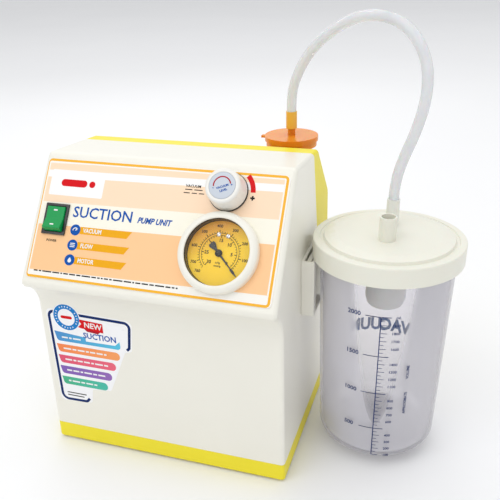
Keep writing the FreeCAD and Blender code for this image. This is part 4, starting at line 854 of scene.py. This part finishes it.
def build_gauge(cream, steel, inks):
    bezel_foot, bezel_top = stand("gauge_bezel")
    lens_top = stand("gauge_lens")[1]
    dial_foot, dial_top = stand("gauge_dial")
    place = on_console(*GAUGE_AT)
    turned("gauge_ring", [
        (GAUGE_RADIUS, bezel_foot), (BEZEL_RADIUS, bezel_foot, 0.3), (BEZEL_RADIUS, bezel_top, 4.6),
        (LIP_RADIUS, bezel_top, 1.0), (LIP_RADIUS, lens_top), (GAUGE_RADIUS, lens_top)],
        place, cream, "cabinet", "gauge_bezel", closed=True, width=0.1)
    turned("dial", [(DIAL_HOLE, dial_foot), (DIAL_RADIUS, dial_foot), (DIAL_RADIUS, dial_top),
                    (DIAL_HOLE, dial_top)],
           place, dial_face(), "cabinet", "gauge_dial", closed=True, width=0.15)
    print_on("dial_scales", dial_marks(), inks["black"], GAUGE_AT, dial_top, thick=FINE_PRINT)
    figures = []
    for number in (100, 200, 300, 400, 500, 600, 700, 760):
        spot = around(SCALE_START + SCALE_TURN * number / MOST_MERCURY, 24.9)
        figures.append(words(f"mercury_{number}", str(number), 2.7, spot, thick=FINE_PRINT, bold=0.04))
    for number in range(0, 31, 5):
        spot = around(SCALE_START + SCALE_TURN * number / MOST_INCHES, 11.8)
        figures.append(words(f"inches_{number}", str(number), 3.1, spot, thick=FINE_PRINT, bold=0.04))
    figures += [words("unit_inches", "inHg", 1.8, (0, -8.6), thick=FINE_PRINT),
                words("unit_mercury", "mmHg", 1.8, (0, -11.4), thick=FINE_PRINT)]
    letter_on("dial_figures", figures, inks["black"], GAUGE_AT, dial_top)
    for k, (x, y) in enumerate(((-3.0, 17.0), (6.0, 16.2)), 1):
        spot = (GAUGE_AT[0] + x, GAUGE_AT[1] + y)
        turned(f"dial_screw_{k}", [(0, 0), (1.9, 0), (1.9, 0.7, 0.4), (0, 0.9)],
               on_console(*spot, dial_top), steel, "cabinet", steps=32)
        # Each screw's slot is only a flat black mark: painted shade where the slot's recess would be dark.
        print_on(f"dial_screw_slot_shade_{k}", [spoke(35 * k, -1.4, 1.4, 0.45)], inks["black"], spot,
                 dial_top + 0.78, thick=0.12)
    build_pointer(dial_top)
    lens = clear_cover("gauge glass", "clear_lens", (0.99, 0.99, 0.985), 0.0, shine=0.4)
    moulding("gauge_lens", "gauge_window", lens, 0.2)


POINTER_HALVES = ((-12.0, 2.6), (-10.5, 3.3), (-8.5, 3.0), (-4.5, 1.3), (-2.0, 1.2), (3.0, 0.95),
                  (18.0, 0.5), (19.0, 1.15), (22.5, 1.2), (24.5, 0.7), (27.5, 0.2))


def build_pointer(dial_top):
    paint = plastic("pointer paint", "black_paint", (0.012, 0.012, 0.014), 0.3, 1500, 0.01, 0.3)
    outline = ([(x, -half) for x, half in POINTER_HALVES]
               + [(x, half) for x, half in reversed(POINTER_HALVES)])
    blade = flat_piece("pointer_blade", [outline], 0.6, 1.0)
    hub = lathe("pointer_hub", [(0, 0.9), (3.4, 0.9), (3.4, 2.0, 0.7), (1.3, 2.6, 0.5), (1.1, 2.2),
                                (0, 2.5)], steps=48)
    spindle = lathe("pointer_spindle", [(0, -15.0), (0.8, -15.0), (0.8, 1.2), (0, 1.2)], steps=24)
    pointer = joined("pointer", [blade, hub, spindle])
    settle(pointer, on_console(*GAUGE_AT, dial_top) @ Matrix.Rotation(math.radians(SCALE_START), 4, "Z"))
    ease(pointer, 0.08)
    dress(pointer, paint, "pointer", "gauge_pointer")


# ---------- regulator knob
def build_knob(black, inks):
    foot, top = stand("vacuum_knob")
    place = on_console(*KNOB_AT)
    cream = plastic("knob plastic", "cream_knob", (0.84, 0.825, 0.775), 0.3, 1200, 0.015, 0.05,
                    Coat_Weight=0.25)
    turned("vacuum_control", [
        (3.0, foot + 4.5), (7.0, foot + 4.5), (7.0, foot + 10.8), (15.6, foot + 10.8), (15.6, foot),
        (18.0, foot, 0.5), (16.0, top, 2.2), (12.3, top, 0.4), (12.3, top - 1.6), (3.0, top - 1.6)],
        place, cream, "knob", "vacuum_knob", closed=True, width=0.1)
    cap_foot, cap_top = stand("knob_cap")
    blue = plastic("cap insert", "knob_print", (0.56, 0.61, 0.68), 0.3, 900, 0.01, 0.06)
    turned("control_cap", [(0, cap_foot), (12.2, cap_foot), (12.2, cap_top - 0.3, 0.4), (9, cap_top),
                           (0, cap_top)], place, blue, "knob", "knob_cap")
    print_on("cap_arc", [arc_band(7.3, 8.4, 15, 190, 40)], inks["dark_red"], KNOB_AT, cap_top, "knob", 0.08)
    letter_on("cap_words", [words("cap_word_1", "VACUUM", 2.0, (0.6, -1.2), turn=22, bold=0.05),
                            words("cap_word_2", "LEVEL", 2.0, (2.0, -4.4), turn=22, bold=0.05)],
              inks["blue"], KNOB_AT, cap_top, "knob")
    print_on("cap_signs", [bar(-8.6, -3.3, -6.9, -2.8), plus(8.7, 1.2, 0.8, 0.25)], inks["blue"],
             KNOB_AT, cap_top, "knob", 0.08)
    moulding("knob_collar", "control_ring", black, 0.2)


# ---------- power switch
ROCKER_REST, ROCKER_SLOPE, ROCKER_MIDDLE = -10.0, 12.0, 3.2


def build_switch(black, inks):
    moulding("switch_housing", "switch_frame", black, 0.5, 3)
    green = plastic("green rocker", "green_rocker", (0.0, 0.33, 0.075), 0.3, 700, 0.01, 0.15,
                    Specular_IOR_Level=0.35)
    moulding("switch_rocker", "rocker", green, 0.5, 3)
    pivot = Vector(JOINTS["power_rocker"]["pos_m"])
    rest = (Matrix.Translation(pivot) @ on_console().to_3x3().to_4x4()
            @ Matrix.Rotation(math.radians(ROCKER_REST), 4, "X"))
    marks = []
    for k, (side, low, high) in enumerate(((1, 6.9, 8.3), (-1, -8.2, -6.8))):
        piece = flat_piece(f"rocker_mark_{k}", [bar(-2.0, low, 2.0, high, 0.3)])
        slope = Matrix.Rotation(math.radians(side * ROCKER_SLOPE), 4, "X")
        piece.data.transform(Matrix.Translation((0, 0, ROCKER_MIDDLE + 0.02)) @ slope)
        marks.append(piece)
    piece = settle(joined("rocker_marks", marks), rest)
    dress(piece, inks["white"], "rocker")


# ---------- front label
def on_front(out=0.0):
    """The frame of the cabinet's lower front: X across from its middle, Y up it, Z out of it."""
    wall = max((face for face in frame["nodes"]["front_shell"].data.polygons
                if face.normal.y < -0.9 and face.center.z < 0.18), key=lambda face: face.area)
    out_of = wall.normal.copy()
    up = out_of.cross(Vector((1, 0, 0))).normalized()
    foot = wall.center - up * (wall.center.z / up.z)
    foot.x = console_origin.x
    axes = Matrix((Vector((1, 0, 0)), up, out_of)).transposed().to_4x4()
    return Matrix.Translation(foot + out_of * out * MM) @ axes


def stripe(points, width):
    """The outline of an open line that has some width and rounded corners."""
    line = corners(points)
    left, right = [], []
    for k, here in enumerate(line):
        along = (line[min(k + 1, len(line) - 1)] - line[max(k - 1, 0)]).normalized()
        side = Vector((-along.y, along.x)) * width / 2
        left.append(tuple(here + side))
        right.append(tuple(here - side))
    return left + right[::-1]


EMBLEM_AT = (-98, 157.5)
BAND_TOP, BAND_STEP, BAND_HALF = 133.2, 13.35, 4.8
LABEL_BANDS = (("label blue", (0.03, 0.24, 0.58), (0.05, 0.52, 0.74), -40),
               ("label orange", (0.90, 0.20, 0.03), (0.93, 0.33, 0.08), -42),
               ("label pink", (0.74, 0.05, 0.13), (0.82, 0.10, 0.17), -48),
               ("label purple", (0.18, 0.07, 0.42), (0.28, 0.11, 0.45), -54),
               ("label green", (0.02, 0.42, 0.20), (0.03, 0.50, 0.42), -60.5))


def band_ink(name, first, second):
    """Printed ink that shifts from one tone to another along the band."""
    finish = Finish(name, "panel_print", Coat_Weight=0.3)
    across = finish.axes()[0] - console_origin.x / MM
    share = ((across + 114) / 74).larger(0.0).smaller(1.0)
    finish.set("Base Color", finish.mix(share, first, second))
    finish.gloss(300, 2, 0.1, 0.3)
    return finish


def build_label(inks):
    """The plain coloured label low on the front, with its border, round badge, ribbon and bands."""
    lift = 0.02

    def put(name, outlines, finish, out, thick=0.06):
        piece = flat_piece(name, outlines, thick)
        settle(piece, on_front(lift + out))
        return dress(piece, finish, "cabinet")

    paper = plastic("label paper", "panel_print", (0.93, 0.93, 0.94), 0.3, 900, 0.006, 0.03, Coat_Weight=0.3)
    put("label_paper", [[(-121, 165.5, 6), (-24.0, 163.5, 7), (-27.5, 128.5, 3), (-35.5, 126.0, 1),
                         (-57.0, 75.5, 4), (-79, 73.5, 2), (-82, 55.5, 3), (-120, 52.5, 6)]], paper, 0.0)
    border = [(-33.0, 129.2), (-30.2, 132.0, 2), (-27.2, 160.6, 6), (-118.2, 162.6, 6), (-117.2, 55.4, 7),
              (-88, 56.2, 3), (-84.6, 60.5)]
    put("label_border", [stripe(border, 3.0)], inks["navy"], 0.06)
    put("label_badge_paper", [disc(*EMBLEM_AT, 15.6, 72)], paper, 0.12)
    put("label_badge", [disc(*EMBLEM_AT, 14.7, 72), disc(*EMBLEM_AT, 9.6, 56)], inks["sky"], 0.18)
    put("label_badge_marks", [spoke_at(*EMBLEM_AT, 15 * k, 11.4, 12.9, 0.9) for k in range(24)
                              if k not in (3, 9, 15, 21)], inks["white"], 0.24, 0.03)
    put("label_badge_bar", [bar(-104.5, 155.8, -91.5, 159.2, 1.7)], inks["red"], 0.18)
    put("label_ribbon", [[(-86, 157.5), (-57.5, 155.6), (-57.5, 145.2), (-82, 147.2), (-86, 148),
                          (-81.5, 152.4)]], inks["red"], 0.14)
    put("label_ribbon_fold", [[(-79, 147.0), (-61, 145.5), (-64, 143.0), (-76, 144.2)]], inks["dark_red"],
        0.12)
    word = words("label_new", "NEW", 6.2, (-68.8, 151.2), thick=0.05, turn=-3)
    dress(settle(word, on_front(lift + 0.2)), inks["white"], "cabinet")
    title = words("label_title", "SUCTION", 6.6, (-62.5, 139.0), thick=0.05, squeeze=0.95)
    dress(settle(title, on_front(lift + 0.12)), inks["blue"], "cabinet")
    for k, (name, first, second, end) in enumerate(LABEL_BANDS):
        middle = BAND_TOP - BAND_STEP * k
        top, foot = middle + BAND_HALF, middle - BAND_HALF
        outline = [(-114.5, top, 0.5), (end, top, 4.6), (end, foot, 4.6), (-112.5, foot, 3.5)]
        if k == 0:
            outline = [(-115, middle + 6.6, 0.5), (-79, middle + 3.6, 0.5), (-79, middle - 0.9, 0.3),
                       (-46, middle - 0.6), (-40.5, middle + 4.6), (-39.5, foot, 3.8), (-112.5, foot, 3.5)]
        put(name.replace(" ", "_"), [outline], band_ink(name, first, second), 0.06)
        marks = dashes(-107.0, -80 if k == 0 else end - 8, middle - 0.9, middle + 0.9, 1.5,
                       (7, 3, 9, 4.5, 8, 3.5, 6), 2 * k)
        put(f"label_marks_{k + 1}", marks, inks["white"], 0.12, 0.04)
    put("label_lines", [bar(-111, 63.8, -88, 65.0), bar(-111, 60.4, -91, 61.6)], inks["black"], 0.06)


# ---------- collection jar
JAR_FOOT, JAR_RIM, JAR_FOOT_RADIUS, JAR_RIM_RADIUS = 13.0, 230.0, 60.9, 65.6
MARK_FOOT, MARK_RISE, MARK_TURN, MARK_STEP = 10.3, 43.4 / 500, 4.0, 2.0
SLEEVE_RADIUS, SLEEVE_BORE, SLEEVE_DROP = 20.2, 19.0, 43.0


def jar_radius(height):
    return JAR_FOOT_RADIUS + (height - JAR_FOOT) * (JAR_RIM_RADIUS - JAR_FOOT_RADIUS) / (JAR_RIM - JAR_FOOT)


def wrap_on_jar(piece, turn):
    """Lay a flat drawing on the jar's wall: its X runs round the wall and its Y is the height."""
    for vertex in piece.data.vertices:
        x, y, z = vertex.co
        radius = jar_radius(y) + z + 0.02
        angle = math.radians(turn) + x / jar_radius(y)
        vertex.co = ((lid_axis.x / MM + radius * math.sin(angle)) * MM,
                     (lid_axis.y / MM - radius * math.cos(angle)) * MM, y * MM)
    return piece


def long_bar(x0, y0, x1, y1):
    """A bar's outline with points close enough together to follow the jar."""
    count = max(1, round((x1 - x0) / MARK_STEP))
    across = [x0 + (x1 - x0) * k / count for k in range(count + 1)]
    return [(x, y0) for x in across] + [(x, y1) for x in reversed(across)]


def mark_height(millilitres):
    return MARK_FOOT + MARK_RISE * millilitres


def build_jar(inks):
    tint = (0.95, 0.945, 0.962)
    glass = clear_cover("jar polycarbonate", "clear_jar", tint, 0.03, 0.04)
    outline = [(0, JAR_FOOT), (JAR_FOOT_RADIUS, JAR_FOOT, 11.0), (jar_radius(223), 223, 0.6),
               (67.1, 224.3, 1.0), (67.1, 226.7, 1.0), (jar_radius(228), 228, 0.6),
               (JAR_RIM_RADIUS, JAR_RIM, 0.8), (62.6, JAR_RIM, 0.8), (57.9, 16.0, 8.0), (0, 16.0)]
    turned("jar", outline, upright(lid_axis), glass, "jar", "collection_jar", steps=160)

    marks = [long_bar(-0.45, mark_height(100), 0.45, mark_height(2000))]
    for step in range(2, 41):
        height = mark_height(50 * step)
        if step % 10 == 0:
            marks += [long_bar(-14.5, height - 0.4, -0.5, height + 0.4),
                      long_bar(0.5, height - 0.4, 9.5, height + 0.4)]
        else:
            reach = 6.5 if step % 2 == 0 else 4.0
            marks.append(long_bar(0.5, height - 0.25, reach, height + 0.25))
    scale = wrap_on_jar(joined("jar_scale", [flat_piece(f"mark_{k}", [mark], 0.12)
                                             for k, mark in enumerate(marks)]), MARK_TURN)
    dress(scale, inks["navy"], "jar")
    figures = []
    for amount in (2000, 1500, 1000, 500):
        figures.append(words(f"amount_{amount}", str(amount), 4.8, (-25.5, mark_height(amount) + 0.4)))
    for amount in range(100, 2000, 100):
        if amount % 500:
            figures.append(words(f"amount_{amount}", str(amount), 2.9, (14.5, mark_height(amount))))
    figures += [words("amount_unit", "ml.", 2.9, (16.0, mark_height(2000))),
                words("word_volume", "VOLUME", 2.9, (29.5, 122), turn=90),
                words("word_measure", "APPROXIMATE", 2.9, (29.5, 85), turn=90)]
    dress(wrap_on_jar(joined("jar_figures", figures), MARK_TURN), inks["navy"], "jar")
    back = wrap_on_jar(words("jar_back_word", "VACUUM", 15.0, (0, 101), squeeze=0.8, bold=0.06), 188)
    dress(back, inks["jar_blue"], "jar")


def build_lid():
    pale = plastic("lid plastic", "cream_lid", (0.82, 0.81, 0.71), 0.36, 1300, 0.02, 0.04,
                   Subsurface_Weight=0.05, Subsurface_Scale=0.003)
    moulding("jar_lid", "lid_cover", pale, 0.5, 3, clamp=True)
    milky = plastic("connector plastic", "pale_plastic", (0.83, 0.825, 0.76), 0.35, 1000, 0.02, 0.05,
                    Subsurface_Weight=0.15, Subsurface_Scale=0.003)
    moulding("float_cage", "float_basket", milky, 0.3)
    basket = centre("float_cage", "foot")
    foot = basket.z / MM
    turned("float_sleeve", [
        (SLEEVE_RADIUS, foot - 34, 1.5), (18.0, foot - 42, 3.0), (0, foot - SLEEVE_DROP), (0, foot - 41.8),
        (17.2, foot - 40.8, 2.0), (SLEEVE_BORE, foot - 33.4, 1.0), (SLEEVE_BORE, foot - 0.2),
        (SLEEVE_RADIUS, foot - 0.2)], upright(basket), milky, "lid", closed=True, steps=96)
    connector = [(3.6, 245.0), (6.2, 245.0, 0.8), (6.2, 250.0, 0.3), (5.7, 250.8, 0.3), (5.7, 252.2, 0.3),
                 (6.2, 253.0, 0.3), (6.2, 267.6, 1.0), (3.6, 267.6)]
    turned("tube_cuff", connector, upright(centre("tube_connector", "foot")), milky, "lid", closed=True,
           steps=96)


def orange_shell():
    """Translucent orange moulding that lets part of the light through."""
    finish = Finish("orange filter", "orange_filter", Subsurface_Weight=0.3, Subsurface_Scale=0.004, IOR=1.45)
    finish.mottle(60, 3, (0.93, 0.36, 0.03), (0.86, 0.27, 0.015))
    finish.gloss(80, 2, 0.1, 0.18)
    edge = finish.node("ShaderNodeLayerWeight", inputs={"Blend": 0.4}, output="Facing")
    finish.let_through((1.0, 0.62, 0.22), edge * 0.35 + 0.62)
    return finish


def build_filter():
    orange = orange_shell()
    moulding("filter_base", "filter_lower", orange, 0.25)
    moulding("filter_top", "filter_upper", orange, 0.25)
    amber = plastic("amber rubber", "amber_rubber", (0.90, 0.50, 0.05), 0.4, 900, 0.02, 0.12,
                    Subsurface_Weight=0.2, Subsurface_Scale=0.003)
    moulding("filter_sleeve", "filter_tube_end", amber, 0.5, 3)


# ---------- socket contacts and inner parts
def build_inlet(brass):
    """Metal spring contacts inside the mains socket, round its three pins."""
    low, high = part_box("power_inlet")
    middle_x, middle_z = (low.x + high.x) / 2 / MM, (low.z + high.z) / 2 / MM
    section = [bar(-1.5, -2.5, 1.5, 2.5, 0.4), bar(-1.15, -2.15, 1.15, 2.15, 0.2)]
    for k, (x, z) in enumerate(((-7.0, -2.2), (0.0, 2.6), (7.0, -2.2)), 1):
        sleeve = flat_piece(f"inlet_contact_{k}", section, 2.0)
        spot = Vector(((middle_x + x) * MM, high.y - 15 * MM, (middle_z + z) * MM))
        settle(sleeve, Matrix.Translation(spot) @ Matrix.Rotation(math.radians(90), 4, "X"))
        dress(sleeve, brass, "cabinet")


def inner_finishes(cream, black):
    """One finish for every material slot whose CAD pieces stay as they are."""
    return {
        "rubber": plastic("foot rubber", "rubber", (0.025, 0.025, 0.027), 0.62, 700, 0.05, 0.4),
        "steel": metal("machined steel", "steel", (0.62, 0.62, 0.64), 0.3),
        "brass": metal("brass", "brass", BRASS, 0.3, (1, 40, 1)),
        "aluminium": metal("cast aluminium", "aluminium", (0.66, 0.67, 0.69), 0.46, (1, 1, 1), 0.05),
        "painted_steel": plastic("grey enamel", "painted_steel", (0.22, 0.235, 0.25), 0.4, 500, 0.04, 0.15,
                                 Coat_Weight=0.2),
        "black_plastic": black, "cream_shell": cream,
        "pale_plastic": plastic("moulded nylon", "pale_plastic", (0.80, 0.79, 0.74), 0.42, 900, 0.02, 0.06),
        "black_paint": plastic("black enamel", "black_paint", (0.02, 0.02, 0.022), 0.35, 900, 0.01, 0.3),
        "filter_paper": plastic("filter felt", "filter_paper", (0.87, 0.86, 0.82), 0.9, 2500, 0.15, 0.1),
        "seal_polymer": plastic("seal polymer", "seal_polymer", (0.74, 0.73, 0.70), 0.55, 600, 0.03, 0.12),
        "clear_tube": tube_plastic(),
        "yellow_shell": yellow_shell(),
    }


def dress_inner_nodes(finishes):
    """Give every CAD piece that nothing stands for the finish of its slot."""
    slots = {row["node"]: row["material_slot"] for row in frame["record"]["subparts"]}
    taken = {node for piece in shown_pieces() for node in piece.get("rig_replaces", [])}
    for name, piece in frame["nodes"].items():
        if name not in taken:
            piece.data.materials.clear()
            piece.data.materials.append(finishes[slots[name]].material)


def main():
    place_camera()
    light_studio()
    lay_floor()
    build_tube()
    inks = {name: ink(name + " ink", colour) for name, colour in INK_COLOURS.items()}
    cream, black = build_cabinet()
    build_panel(inks)
    steel = metal("bright steel", "steel", (0.72, 0.72, 0.74), 0.28)
    build_gauge(cream, steel, inks)
    build_knob(black, inks)
    build_switch(black, inks)
    build_label(inks)
    build_jar(inks)
    build_lid()
    build_filter()
    build_inlet(metal("contact brass", "brass", BRASS, 0.3, (1, 40, 1)))
    dress_inner_nodes(inner_finishes(cream, black))


main()
